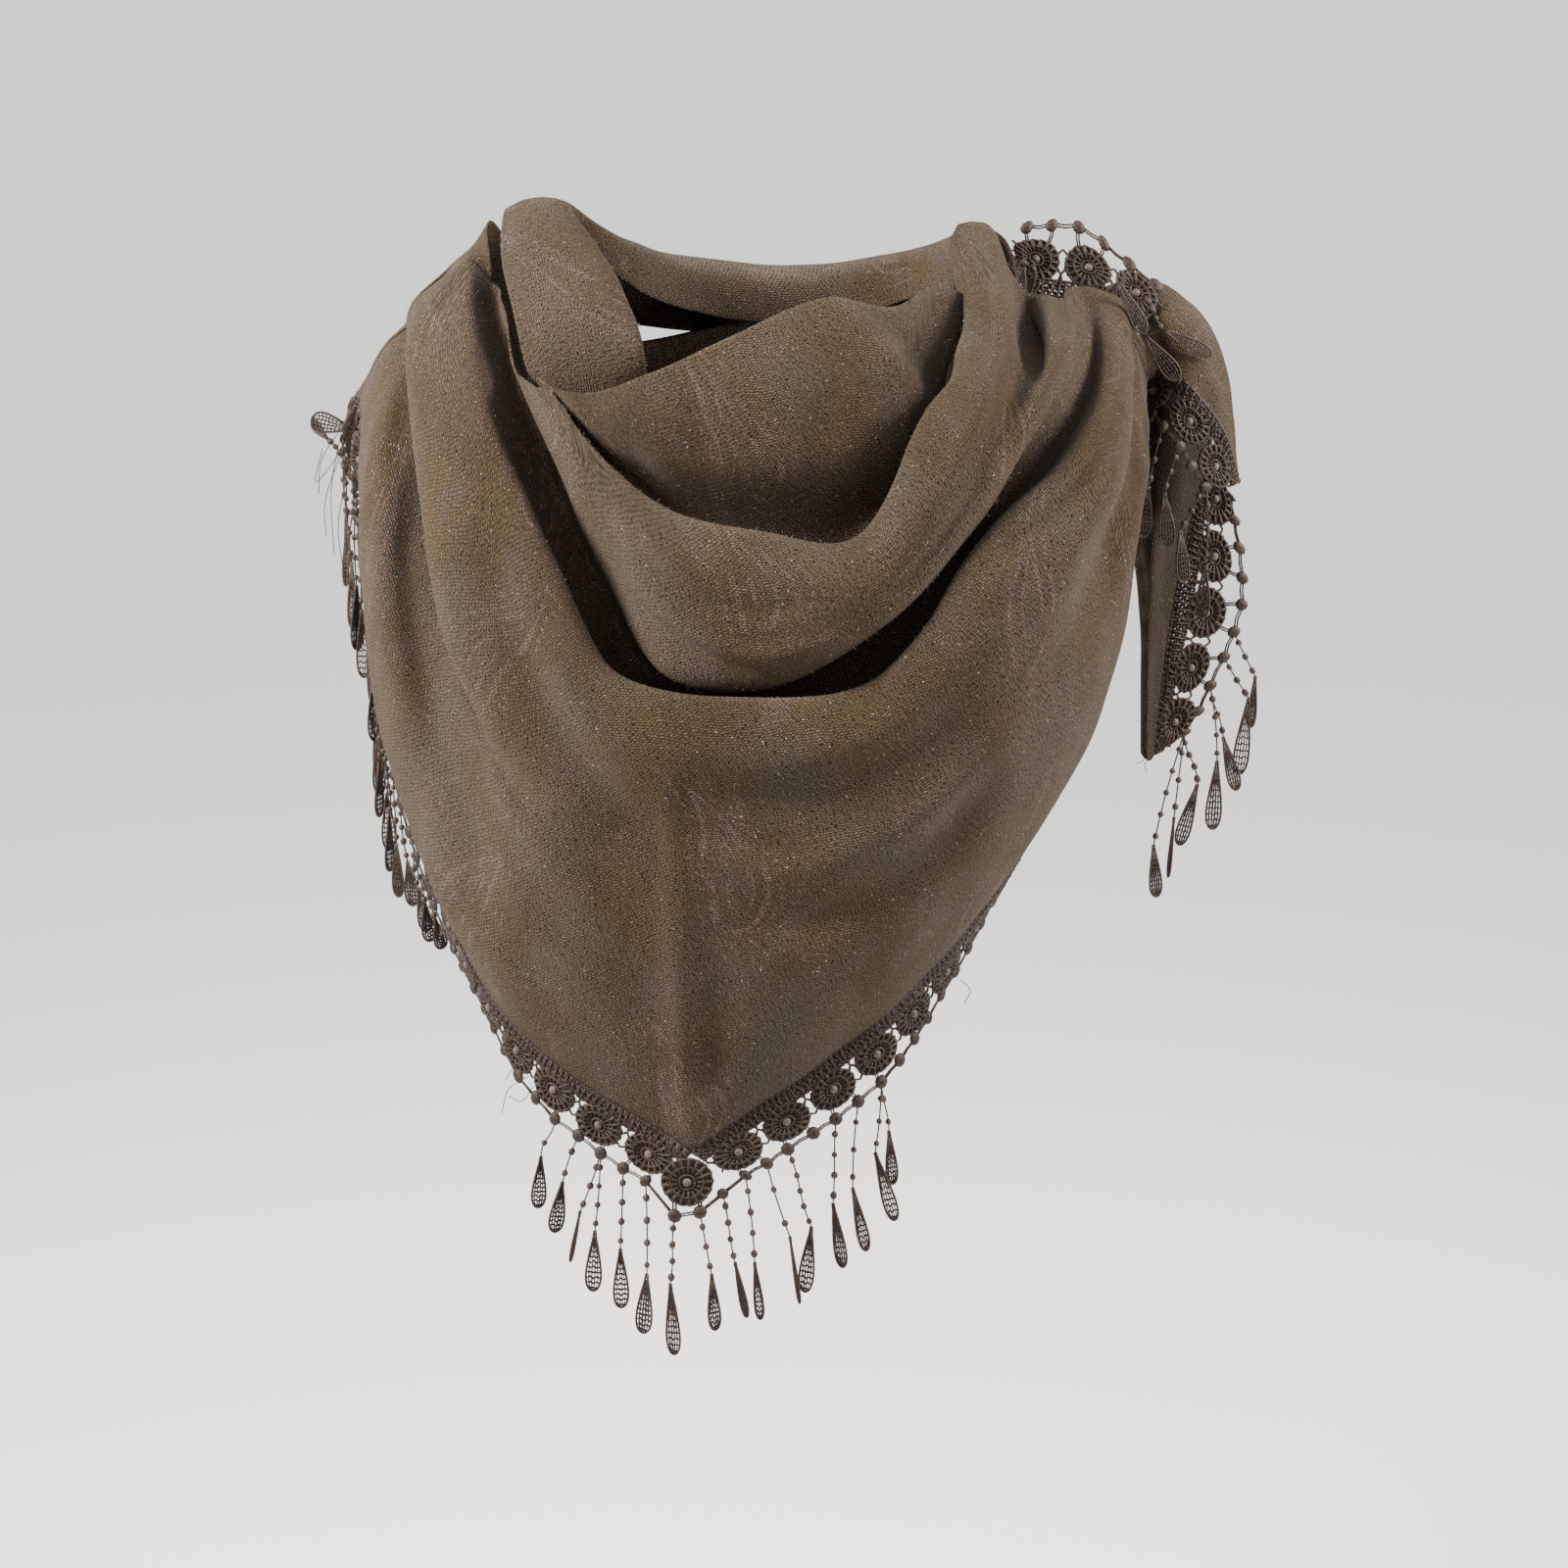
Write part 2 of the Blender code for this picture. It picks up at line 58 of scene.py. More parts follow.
# ---------------------------------------------------------------- the front, a row for each fold line
# The columns run along a fold line, from the -X shoulder round the chest to the +X shoulder.
FRONT_COLUMNS = ("l_top", "l_high", "l_mid", "l_low", "low", "r_low", "r_mid", "r_high", "r_top")
FRONT = {
    # the long edge, standing round the throat
    "edge":     ((549, 385, -82), (566, 396, -96), (600, 401, -104), (660, 382, -108), (750, 342, -104), (835, 306, -95), (915, 311, -76), (958, 291, -60), (986, 303, -52)),
    "ridge":    ((553, 396, -80), (573, 411, -98), (612, 430, -109), (670, 428, -115), (760, 400, -115), (850, 345, -109), (896, 392, -113), (938, 430, -107), (967, 412, -86)),
    "bib":      ((557, 405, -77), (581, 425, -97), (620, 452, -109), (680, 470, -116), (768, 470, -118), (850, 455, -116), (900, 455, -112), (944, 450, -103), (968, 430, -84)),
    "bib_foot": ((562, 413, -72), (589, 440, -92), (631, 480, -104), (699, 528, -108), (785, 558, -108), (860, 568, -106), (908, 520, -103), (950, 468, -95), (974, 442, -78)),
    # first swag
    "root_1":   ((560, 421, -88), (592, 453, -103), (633, 498, -114), (699, 542, -121), (784, 571, -125), (868, 582, -123), (936, 520, -115), (981, 440, -90), (997, 406, -56)),
    "crest_1":  ((556, 397, -98), (582, 428, -110), (620, 474, -125), (693, 523, -137), (775, 543, -143), (866, 552, -142), (936, 440, -128), (984, 340, -84), (991, 226, -14)),
    "belly_1a": ((549, 396, -99), (577, 443, -115), (626, 520, -134), (695, 585, -151), (785, 612, -160), (885, 590, -158), (972, 480, -144), (1014, 350, -100), (1004, 228, -12)),
    "groove_1": ((542, 392, -94), (575, 457, -113), (627, 545, -132), (692, 616, -151), (780, 648, -161), (892, 612, -158), (990, 489, -141), (1044, 352, -76), (1034, 282, -26)),
    "belly_1b": ((536, 387, -85), (574, 468, -108), (627, 568, -127), (690, 646, -147), (774, 676, -159), (898, 632, -156), (1010, 494, -138), (1067, 378, -100), (1060, 300, -37)),
    "under_1":  ((529, 381, -77), (569, 474, -99), (625, 593, -116), (680, 687, -140), (760, 706, -149), (900, 640, -143), (1018, 502, -124), (1087, 366, -86), (1084, 306, -24)),
    "gap_1":    ((513, 313, -46), (545, 425, -74), (600, 575, -100), (668, 671, -114), (768, 691, -119), (900, 626, -113), (1016, 492, -101), (1090, 372, -66), (1090, 294, -5)),
    "floor_1":  ((503, 287, -20), (515, 412, -76), (568, 580, -107), (650, 723, -120), (775, 749, -126), (918, 693, -118), (1028, 523, -105), (1104, 396, -63), (1106, 292, 0)),
    # second swag
    "crest_2":  ((478, 266, -10), (496, 425, -98), (560, 560, -131), (630, 690, -151), (760, 714, -159), (885, 702, -157), (1004, 556, -143), (1108, 468, -112), (1141, 304, -6)),
    "belly_2":  ((450, 285, -10), (465, 440, -104), (530, 620, -140), (612, 748, -160), (765, 772, -168), (900, 750, -166), (1040, 600, -150), (1128, 480, -112), (1150, 310, -6)),
    "under_2":  ((420, 318, -8), (420, 420, -76), (460, 645, -112), (572, 800, -151), (770, 835, -163), (935, 790, -161), (1070, 640, -143), (1141, 475, -100), (1156, 322, -5)),
    "gap_2":    ((424, 326, -2), (432, 440, -58), (480, 670, -99), (580, 860, -149), (762, 890, -161), (960, 830, -157), (1092, 665, -134), (1135, 510, -86), (1154, 332, -3)),
    # the plain front, down to the point
    "panel_a":  ((396, 352, 0), (394, 450, -60), (428, 740, -98), (560, 930, -146), (748, 980, -160), (965, 900, -150), (1105, 720, -122), (1155, 520, -84), (1163, 345, -2)),
    "panel_b":  ((374, 392, 8), (368, 480, -34), (396, 770, -64), (526, 1008, -132), (728, 1085, -156), (955, 960, -136), (1119, 735, -92), (1168, 470, -52), (1168, 368, 0)),
    "hem":      ((367, 410, 15), (390, 502, 12), (425, 790, -14), (534, 1058, -118), (706, 1175, -152), (925, 1014, -122), (1082, 790, -60), (1136, 540, -32), (1152, 396, 8)),
}

# ---------------------------------------------------------------- the roll round the neck
# An upturned U: outer side, crown, and neck side. The columns start inside the cowl and climb over
# the -X shoulder.
COLLAR_FRONT = {
    "outer_edge": ((584, 440, -65), (541, 384, -71), (528, 335, -66), (513, 268, -44), (515, 216, -14)),
    "crown":      ((606, 448, -69), (582, 390, -81), (562, 335, -76), (546, 268, -54), (535, 206, -16)),
    "inner":      ((634, 442, -72), (627, 389, -84), (606, 333, -78), (588, 266, -54), (562, 205, -14)),
    "neck_side":  ((664, 420, -71), (657, 366, -79), (643, 318, -64), (622, 270, -40), (580, 212, -6)),
    "neck_foot":  ((660, 432, -66), (644, 384, -71), (628, 336, -54), (606, 290, -28), (578, 240, 4)),
}
# Behind the neck each line keeps a radius and a height, in millimetres, that lift by COLLAR_LIFT
# towards the shoulders; the ring is wider than it is deep by COLLAR_WIDE.
COLLAR_BACK = {"outer_edge": (119, 2), "crown": (112, 26), "inner": (94, 40), "neck_side": (77, 34), "neck_foot": (73, 12)}
COLLAR_TURNS = (-58, -30, 0, 30, 58)            # degrees from straight back
COLLAR_WIDE, COLLAR_LIFT = 1.12, 24
# Where it ends, behind the first swag's top on the +X shoulder.
COLLAR_END = {"outer_edge": (116, 4, 40), "crown": (107, 0, 57), "inner": (93, -3, 66), "neck_side": (86, 4, 56), "neck_foot": (85, 12, 34)}

# ---------------------------------------------------------------- the drape down the back
# First a column on top of the -X shoulder, a point for each of the front's lines from floor_1 down.
BACK_SHOULDER = ((501, 226, 24), (483, 256, 31), (462, 286, 32), (438, 314, 34), (421, 337, 36), (399, 363, 38), (376, 393, 43), (362, 416, 49))
# Then its first and last line at four places, x, y, z in millimetres.
BACK_TOP = ((-108, 74, 6), (0, 97, 14), (88, 78, 12), (134, 48, 18))
BACK_HEM = ((-172, 96, -92), (0, 128, -136), (124, 106, -96), (180, 52, -24))
BACK_RIPPLE, BACK_BULGE = 0.006, 0.010
# The other end passes under it, from the +X shoulder.
UNDER_TOP = ((150, 26, 8), (108, 58, -22), (40, 78, -40), (-34, 80, -48), (-92, 62, -44))
UNDER_HEM = ((166, 30, -62), (126, 76, -122), (50, 98, -162), (-36, 98, -140), (-98, 72, -80))
UNDER_RIPPLE, UNDER_BULGE = 0.003, 0.005

# ---------------------------------------------------------------- the end over the +X shoulder
# A fold turned over on top, and the cloth under it. Both start at the drape's last column, at these
# shares of its depth.
TAIL_SHARES = (0.0, 0.2, 0.4, 0.6)
TAIL = {
    "inner_edge": ((1120, 298, 32), (1160, 324, 18), (1164, 352, 17), (1164, 378, 17)),
    "fold":       ((1150, 288, 34), (1186, 314, 10), (1192, 350, -2), (1205, 386, -10)),
    "swell":      ((1178, 288, 36), (1214, 319, 12), (1227, 362, -4), (1243, 430, -10)),
    "outer_edge": ((1203, 304, 38), (1236, 336, 18), (1253, 388, 6), (1263, 492, 0)),
}
TAIL_END_SHARES = (0.66, 0.77, 0.88, 1.0)
TAIL_END = {
    "inner_edge": ((1160, 356, 32), (1154, 430, 24), (1152, 510, 12), (1163, 620, 2), (1165, 768, -6)),
    "roll":       ((1190, 362, 26), (1184, 430, 8), (1178, 520, -2), (1172, 640, -8), (1169, 774, -10)),
    "furrow":     ((1216, 374, 32), (1207, 440, 16), (1194, 530, 8), (1181, 645, 2), (1173, 776, -6)),
    "outer_edge": ((1243, 392, 42), (1234, 460, 26), (1211, 550, 16), (1191, 655, 8), (1178, 770, -2)),
}

# ---------------------------------------------------------------- lace and fringe that show in front
LACE_LEFT = ((350, 440, 36), (364, 530, 32), (404, 806, 4), (440, 918, -26), (492, 1026, -84), (542, 1118, -122), (703, 1238, -158))
LACE_LEFT_STEPS = (3, 3, 1, 1, 1, 3)
LACE_RIGHT = ((703, 1238, -158), (916, 1088, -126), (958, 1022, -104), (1064, 800, -34), (1128, 566, -6), (1146, 432, 28))
LACE_RIGHT_STEPS = (3, 1, 2, 3, 3)
# ends of the bead strings
FRINGE_SIDE_LEFT = ((316, 438, 46), (342, 604, 42), (364, 662, 36), (414, 922, 6), (460, 988, -18))
FRINGE_SIDE_LEFT_STEPS = (1, 2, 3, 1)
FRINGE_FRONT_LEFT = ((545, 1252, -124), (604, 1318, -140), (657, 1356, -152), (700, 1382, -158))
FRINGE_FRONT_RIGHT = ((700, 1382, -158), (775, 1346, -152), (846, 1302, -142), (914, 1232, -128))
FRINGE_SIDE_RIGHT = ((905, 1024, -102), (1000, 905, -46), (1062, 690, -6), (1104, 560, 26))
FRINGE_SIDE_RIGHT_STEPS = (2, 3, 3)
LACE_TAIL = ((1160, 414, 12), (1186, 437, -14), (1219, 482, -15), (1254, 538, -4))
FRINGE_TAIL = ((1162, 520, -2), (1178, 560, -15), (1208, 596, -16), (1248, 650, -5))
LACE_TAIL_END = ((1256, 500, 20), (1270, 612, 13), (1238, 700, 6), (1188, 780, -4))
FRINGE_TAIL_END = ((1282, 772, 12), (1236, 848, 6), (1182, 914, -4))
# the lace standing along the +X shoulder: where it is sewn, and its free side
LACE_SHOULDER = (
    ((1030, 255, 14), (1056, 276, 12), (1096, 291, 13), (1138, 302, 9), (1166, 328, 4)),
    ((1034, 233, 17), (1064, 228, 19), (1098, 229, 21), (1142, 260, 19), (1196, 302, 11)),
)
FRINGE_SHOULDER = (
    ((1141, 288, -17), (1164, 297, -13), (1184, 309, -8), (1202, 336, -14)),
    ((1160, 342, -22), (1172, 374, -22), (1203, 387, -25), (1236, 364, -18)),
)
FRINGE_COLLAR = (((1040, 246, 2), (1055, 252, 2)), ((1040, 306, -10), (1064, 304, -4)))




# ---------------------------------------------------------------- points and curves
def seen(points):
    """Points of the drawing, (across, down, millimetres behind the neck), as points in space."""
    p = np.asarray(points, float)
    u = (p[..., 0] - SHEET / 2) / SQUARES_PER_RADIAN
    v = (SHEET / 2 - p[..., 1]) / SQUARES_PER_RADIAN
    y = p[..., 2] / 1000
    reach = (y - EYE[1]) / (np.cos(TILT) + v * np.sin(TILT))
    return np.stack([EYE[0] + u * reach, y, EYE[2] + reach * (v * np.cos(TILT) - np.sin(TILT))], axis=-1)


def drawn(points):
    """Where points in space stand on the drawing, (across, down)."""
    p = np.asarray(points, float) - np.array(EYE)
    far = p[..., 1] * np.cos(TILT) - p[..., 2] * np.sin(TILT)
    up = p[..., 1] * np.sin(TILT) + p[..., 2] * np.cos(TILT)
    return np.stack([SHEET / 2 + SQUARES_PER_RADIAN * p[..., 0] / far,
                     SHEET / 2 - SQUARES_PER_RADIAN * up / far], axis=-1)


def millimetres(points):
    return np.asarray(points, float) / 1000


def smooth(points, steps, axis=0, before=None, after=None):
    """Rows of points joined by a curve that passes through each, with `steps` new rows to a span. The
    rows `before` and `after`, if given, only set how the curve leaves its ends."""
    p = np.moveaxis(np.asarray(points, float), axis, 0)
    steps = [steps] * (len(p) - 1) if np.isscalar(steps) else steps
    whole = np.concatenate([x for x in ([] if before is None else [before[None]]) + [p] + ([] if after is None else [after[None]])])
    gap = np.maximum(np.linalg.norm(np.diff(whole, axis=0), axis=-1), 1e-6)[..., None]
    slope = np.diff(whole, axis=0) / gap
    m = np.empty_like(whole)
    m[1:-1] = (slope[:-1] * gap[1:] + slope[1:] * gap[:-1]) / (gap[1:] + gap[:-1])
    m[0], m[-1] = slope[0], slope[-1]
    m = m[0 if before is None else 1:len(m) if after is None else -1]
    d = np.maximum(np.linalg.norm(np.diff(p, axis=0), axis=-1), 1e-6)[..., None]
    rows = []
    for i, count in enumerate(steps):
        for t in np.arange(count) / count:
            rows.append((2*t**3 - 3*t**2 + 1) * p[i] + (t**3 - 2*t**2 + t) * d[i] * m[i]
                        + (3*t**2 - 2*t**3) * p[i + 1] + (t**3 - t**2) * d[i] * m[i + 1])
    rows.append(p[-1])
    return np.moveaxis(np.array(rows), 0, axis)


def sheet(lines, along, across, before=None, after=None):
    """Fold lines [line, column, xyz] as a smooth sheet."""
    return smooth(smooth(lines, along, axis=1, before=before, after=after), across, axis=0)


def spread(first, last, count, ripple, bulge):
    t = np.linspace(0, 1, count)[:, None, None]
    rows = first * (1 - t) + last * t
    fade = np.linspace(1, 0, len(first))[None, :, None] ** 0.5
    lift = fade * np.sin(np.pi * t) * (bulge + ripple * np.sin(3 * 2 * np.pi * t))
    out = rows * np.array([1, 1, 0])
    return rows + lift * out / np.linalg.norm(out, axis=-1, keepdims=True)


def between(first, last, shares):
    return np.array([first * (1 - s) + last * s for s in shares])


def unit(v):
    return v / np.maximum(np.linalg.norm(v, axis=-1, keepdims=True), 1e-9)


def normals(rows):
    """Which way each point of a sheet faces."""
    return unit(np.cross(np.gradient(rows, axis=1), np.gradient(rows, axis=0)))


def lengths(rows, axis):
    """How far along each row (axis 1) or column (axis 0) a point is, in metres, from its middle."""
    step = np.linalg.norm(np.diff(rows, axis=axis), axis=-1)
    far = np.concatenate([np.zeros_like(np.take(step, [0], axis)), np.cumsum(step, axis=axis)], axis=axis)
    return far - np.take(far, [far.shape[axis] // 2], axis)


# ---------------------------------------------------------------- soft creases
# Troughs (minus) and ridges (plus) laid on the folds: height in mm, half width in squares, then the
# line it follows on the drawing.
CHEST_CREASES = (
    # down the middle of the point, where the scarf was once folded
    (3.8, 11, ((688, 885), (692, 960), (697, 1050), (702, 1130), (708, 1190))),
    (-2.6, 20, ((726, 930), (732, 1040), (726, 1120))),
    (-0.8, 24, ((650, 950), (660, 1050), (676, 1130))),
    (1.8, 12, ((682, 800), (686, 850), (688, 895))),
    (1.4, 24, ((800, 950), (790, 1010), (770, 1070))),
    (1.2, 22, ((590, 930), (610, 1000), (640, 1060))),
    # from the -X shoulder down across the chest
    (-7.0, 26, ((500, 560), (520, 640), (556, 730), (610, 810), (680, 870))),
    (5.4, 20, ((455, 560), (470, 660), (505, 770), (560, 870), (625, 940))),
    (-5.0, 20, ((412, 560), (424, 680), (452, 790), (500, 890))),
    (3.2, 16, ((392, 470), (392, 560), (404, 680), (424, 770))),
    (-2.6, 14, ((470, 880), (510, 950), (560, 1010))),
    (1.6, 12, ((520, 900), (560, 960), (610, 1010))),
    # across the chest to the +X side
    (-5.2, 24, ((720, 800), (790, 815), (880, 790), (960, 735), (1010, 680))),
    (5.0, 20, ((700, 872), (790, 890), (890, 858), (975, 800), (1040, 720))),
    (-4.2, 20, ((760, 950), (850, 935), (940, 880), (1010, 800))),
    (-4.4, 17, ((1030, 560), (1070, 520), (1105, 470), (1128, 420))),
    (3.4, 14, ((1060, 600), (1100, 550), (1136, 480), (1150, 410))),
    (-2.4, 13, ((1000, 640), (1040, 600), (1070, 560))),
    (2.0, 12, ((1000, 690), (1050, 640), (1090, 590), (1112, 540))),
    (-2.2, 14, ((1050, 720), (1085, 660), (1112, 600), (1130, 540))),
)
# Across the hidden drape, as on the chest: only ridges, because the other end lies close inside it.
BACK_CREASES = (
    (5.0, 20, ((450, 330), (505, 410), (640, 485), (870, 478), (1040, 432), (1100, 380))),
    (3.4, 16, ((480, 290), (540, 365), (680, 415), (870, 405), (1010, 388))),
    (4.0, 18, ((400, 372), (450, 448), (560, 520), (660, 545))),
    (3.2, 15, ((1120, 400), (1080, 465), (1000, 515), (880, 548))),
    (2.2, 12, ((560, 370), (640, 440), (700, 500))),
)
UNDER_CREASES = (
    (-3.0, 18, ((1100, 400), (1000, 480), (880, 520), (760, 515), (660, 480))),
    (-2.2, 14, ((1090, 470), (1000, 560), (900, 600), (800, 590))),
)
COWL_CREASES = (
    # between the first swag and the second on the +X shoulder: a dent and the lips beside it
    (-9.5, 12, ((1046, 296), (1052, 330), (1056, 378))),
    (2.2, 7, ((1034, 300), (1032, 340), (1038, 380))),
    (2.2, 8, ((1062, 296), (1068, 325), (1072, 365))),
    (-2.4, 8, ((1094, 296), (1098, 325), (1100, 360))),
    (1.8, 8, ((1116, 300), (1122, 340), (1120, 390))),
    # the first swag
    (-2.4, 11, ((640, 545), (690, 596), (760, 622), (850, 610))),
    (2.2, 9, ((650, 590), (700, 640), (770, 668), (860, 650))),
    (-1.8, 9, ((690, 640), (730, 672), (800, 690), (870, 676))),
    (-2.2, 8, ((1000, 420), (1020, 380), (1030, 330))),
    (1.8, 8, ((985, 450), (1006, 405), (1016, 350))),
    (1.5, 7, ((900, 560), (940, 520), (975, 470))),
    (-1.6, 7, ((915, 600), (960, 550), (1000, 490))),
    # the long edge: soft dents below it
    (-2.2, 20, ((700, 385), (712, 430), (720, 480))),
    (4.6, 12, ((846, 300), (880, 335), (912, 372), (940, 405))),
    (-6.5, 20, ((905, 318), (930, 346), (950, 372), (962, 396))),
    (-2.0, 16, ((820, 330), (860, 372), (900, 415))),
    (1.8, 16, ((800, 350), (812, 410), (820, 470))),
    (-1.4, 12, ((640, 440), (660, 490), (700, 520))),
)


def crease(rows, face, creases, first, last):
    """Moves the points of rows first..last along their normals, by the creases that pass there."""
    at = drawn(rows)
    lift = np.zeros(rows.shape[:2])
    for height, half, line in creases:
        line = smooth(np.array(line, float), 6)
        legs = np.linalg.norm(np.diff(line, axis=0), axis=1)
        share = np.r_[0, np.cumsum(legs)] / legs.sum()
        best = np.full(rows.shape[:2], 1e9)
        where = np.zeros(rows.shape[:2])
        for a, b, s0, s1 in zip(line, line[1:], share, share[1:]):
            t = np.clip(((at - a) @ (b - a)) / max((b - a) @ (b - a), 1e-9), 0, 1)
            off = np.linalg.norm(at - (a + t[..., None] * (b - a)), axis=-1)
            near = off < best
            best = np.where(near, off, best)
            where = np.where(near, s0 + t * (s1 - s0), where)
        fade = np.sin(np.pi * np.clip(where * 0.86 + 0.07, 0, 1)) ** 0.7
        lift += height / 1000 * fade * np.exp(-(best / half) ** 2)
    keep = np.zeros(len(rows))
    keep[first:last] = 1
    keep = np.convolve(keep, np.ones(7) / 7, mode="same")[:, None]
    return rows + face * (lift * keep)[..., None]


def swell(rows, face, height, size, seed):
    """Low uneven swellings, `size` metres from one to the next, that no two folds share."""
    dice = np.random.default_rng(seed)
    u, v = lengths(rows, 1), lengths(rows, 0)
    lift = np.zeros(rows.shape[:2])
    for _ in range(14):
        turn = dice.uniform(0, 2 * np.pi)
        pitch = size * dice.uniform(0.6, 1.8)
        lift += np.sin(2 * np.pi * (u * np.cos(turn) + v * np.sin(turn)) / pitch + dice.uniform(0, 6.28)) * pitch / size
    return rows + face * (height * lift / 5)[..., None]


# ---------------------------------------------------------------- meshes
def shell(name, rows, finish, thickness=THIN):
    """A sheet of points as a thin shell, with its cut laid flat as UVs in metres."""
    count, width = rows.shape[:2]
    mesh = bpy.data.meshes.new(name)
    index = np.arange(count * width).reshape(count, width)
    quads = np.stack([index[:-1, :-1], index[1:, :-1], index[1:, 1:], index[:-1, 1:]], axis=-1).reshape(-1, 4)
    mesh.from_pydata(rows.reshape(-1, 3), [], quads.tolist())
    flat = np.stack([lengths(rows, 1), -lengths(rows, 0)], axis=-1).reshape(-1, 2)
    layer = mesh.uv_layers.new(name="cut")
    layer.uv.foreach_set("vector", flat[quads.reshape(-1)].reshape(-1))
    mesh.materials.append(finish)
    mesh.shade_smooth()
    obj = bpy.data.objects.new(name, mesh)
    bpy.context.scene.collection.objects.link(obj)
    solid = obj.modifiers.new("thickness", "SOLIDIFY")
    solid.thickness = thickness
    solid.offset = 0.0
    solid.use_rim = True
    return obj


class Heap:
    """Many small closed forms gathered into one mesh."""

    def __init__(self):
        self.points, self.faces, self.count = [], [], 0

    def grid(self, points, closed_around=False, caps=False):
        """A grid of points [i, j, xyz]; j may close on itself, and both ends of i may be capped."""
        n, m = points.shape[:2]
        index = np.arange(n * m).reshape(n, m) + self.count
        after = np.roll(index, -1, axis=1) if closed_around else index[:, 1:]
        here = index if closed_around else index[:, :-1]
        self.faces += np.stack([here[:-1], here[1:], after[1:], after[:-1]], axis=-1).reshape(-1, 4).tolist()
        if caps:
            self.faces += [index[0].tolist(), index[-1][::-1].tolist()]
        self.points.append(points.reshape(-1, 3))
        self.count += n * m

    def tube(self, path, radius, sides=5, side_way=None):
        """A round cord along path; radius is one number or one for each point."""
        path = np.asarray(path, float)
        way = unit(np.gradient(path, axis=0))
        up = np.array([0, 1.0, 0.05]) if side_way is None else side_way
        a = unit(np.cross(way, np.broadcast_to(up, way.shape)))
        b = np.cross(way, a)
        turn = np.linspace(0, 2 * np.pi, sides, endpoint=False)
        r = np.broadcast_to(np.asarray(radius, float), (len(path),))[:, None, None]
        ring = np.cos(turn)[None, :, None] * a[:, None] + np.sin(turn)[None, :, None] * b[:, None]
        self.grid(path[:, None] + ring * r, closed_around=True, caps=True)

    def ball(self, centre, radius, along=None, stretch=1.0, rings=5, sides=8):
        """A ball, or a bead longer by `stretch` along a direction."""
        along = np.array([0, 0, 1.0]) if along is None else unit(np.asarray(along, float))
        a = unit(np.cross(along, np.array([0.3, 0.9, 0.31])))
        b = np.cross(along, a)
        t = np.linspace(0.12, np.pi - 0.12, rings)
        turn = np.linspace(0, 2 * np.pi, sides, endpoint=False)
        ring = np.cos(turn)[None, :, None] * a + np.sin(turn)[None, :, None] * b
        points = centre + radius * (np.sin(t)[:, None, None] * ring + (stretch * np.cos(t))[:, None, None] * along)
        self.grid(points, closed_around=True, caps=True)

    def done(self, name, finish):
        mesh = bpy.data.meshes.new(name)
        mesh.from_pydata(np.concatenate(self.points), [], self.faces)
        mesh.materials.append(finish)
        mesh.shade_smooth()
        obj = bpy.data.objects.new(name, mesh)
        bpy.context.scene.collection.objects.link(obj)
        return obj


# ---------------------------------------------------------------- materials
class Field:
    """A number over the surface, worked out by shader nodes."""

    def __init__(self, tree, socket):
        self.tree, self.socket = tree, socket

    def op(self, kind, *others, clamp=False):
        node = self.tree.nodes.new("ShaderNodeMath")
        node.operation, node.use_clamp = kind, clamp
        for i, value in enumerate((self, *others)):
            if isinstance(value, Field):
                self.tree.links.new(value.socket, node.inputs[i])
            else:
                node.inputs[i].default_value = value
        return Field(self.tree, node.outputs[0])

    def __add__(self, other): return self.op("ADD", other)
    def __sub__(self, other): return self.op("SUBTRACT", other)
    def __mul__(self, other): return self.op("MULTIPLY", other)
    def __truediv__(self, other): return self.op("DIVIDE", other)
    def sin(self): return self.op("SINE")
    def abs(self): return self.op("ABSOLUTE")
    def fract(self): return self.op("FRACT")
    def floor(self): return self.op("FLOOR")

    def step(self, low, high):
        """0 below low, 1 above high, smooth between; low may be above high."""
        node = self.tree.nodes.new("ShaderNodeMapRange")
        node.interpolation_type = "SMOOTHSTEP"
        self.tree.links.new(self.socket, node.inputs["Value"])
        if low < high:
            node.inputs["From Min"].default_value, node.inputs["From Max"].default_value = low, high
        else:
            node.inputs["From Min"].default_value, node.inputs["From Max"].default_value = high, low
            node.inputs["To Min"].default_value, node.inputs["To Max"].default_value = 1.0, 0.0
        return Field(self.tree, node.outputs["Result"])


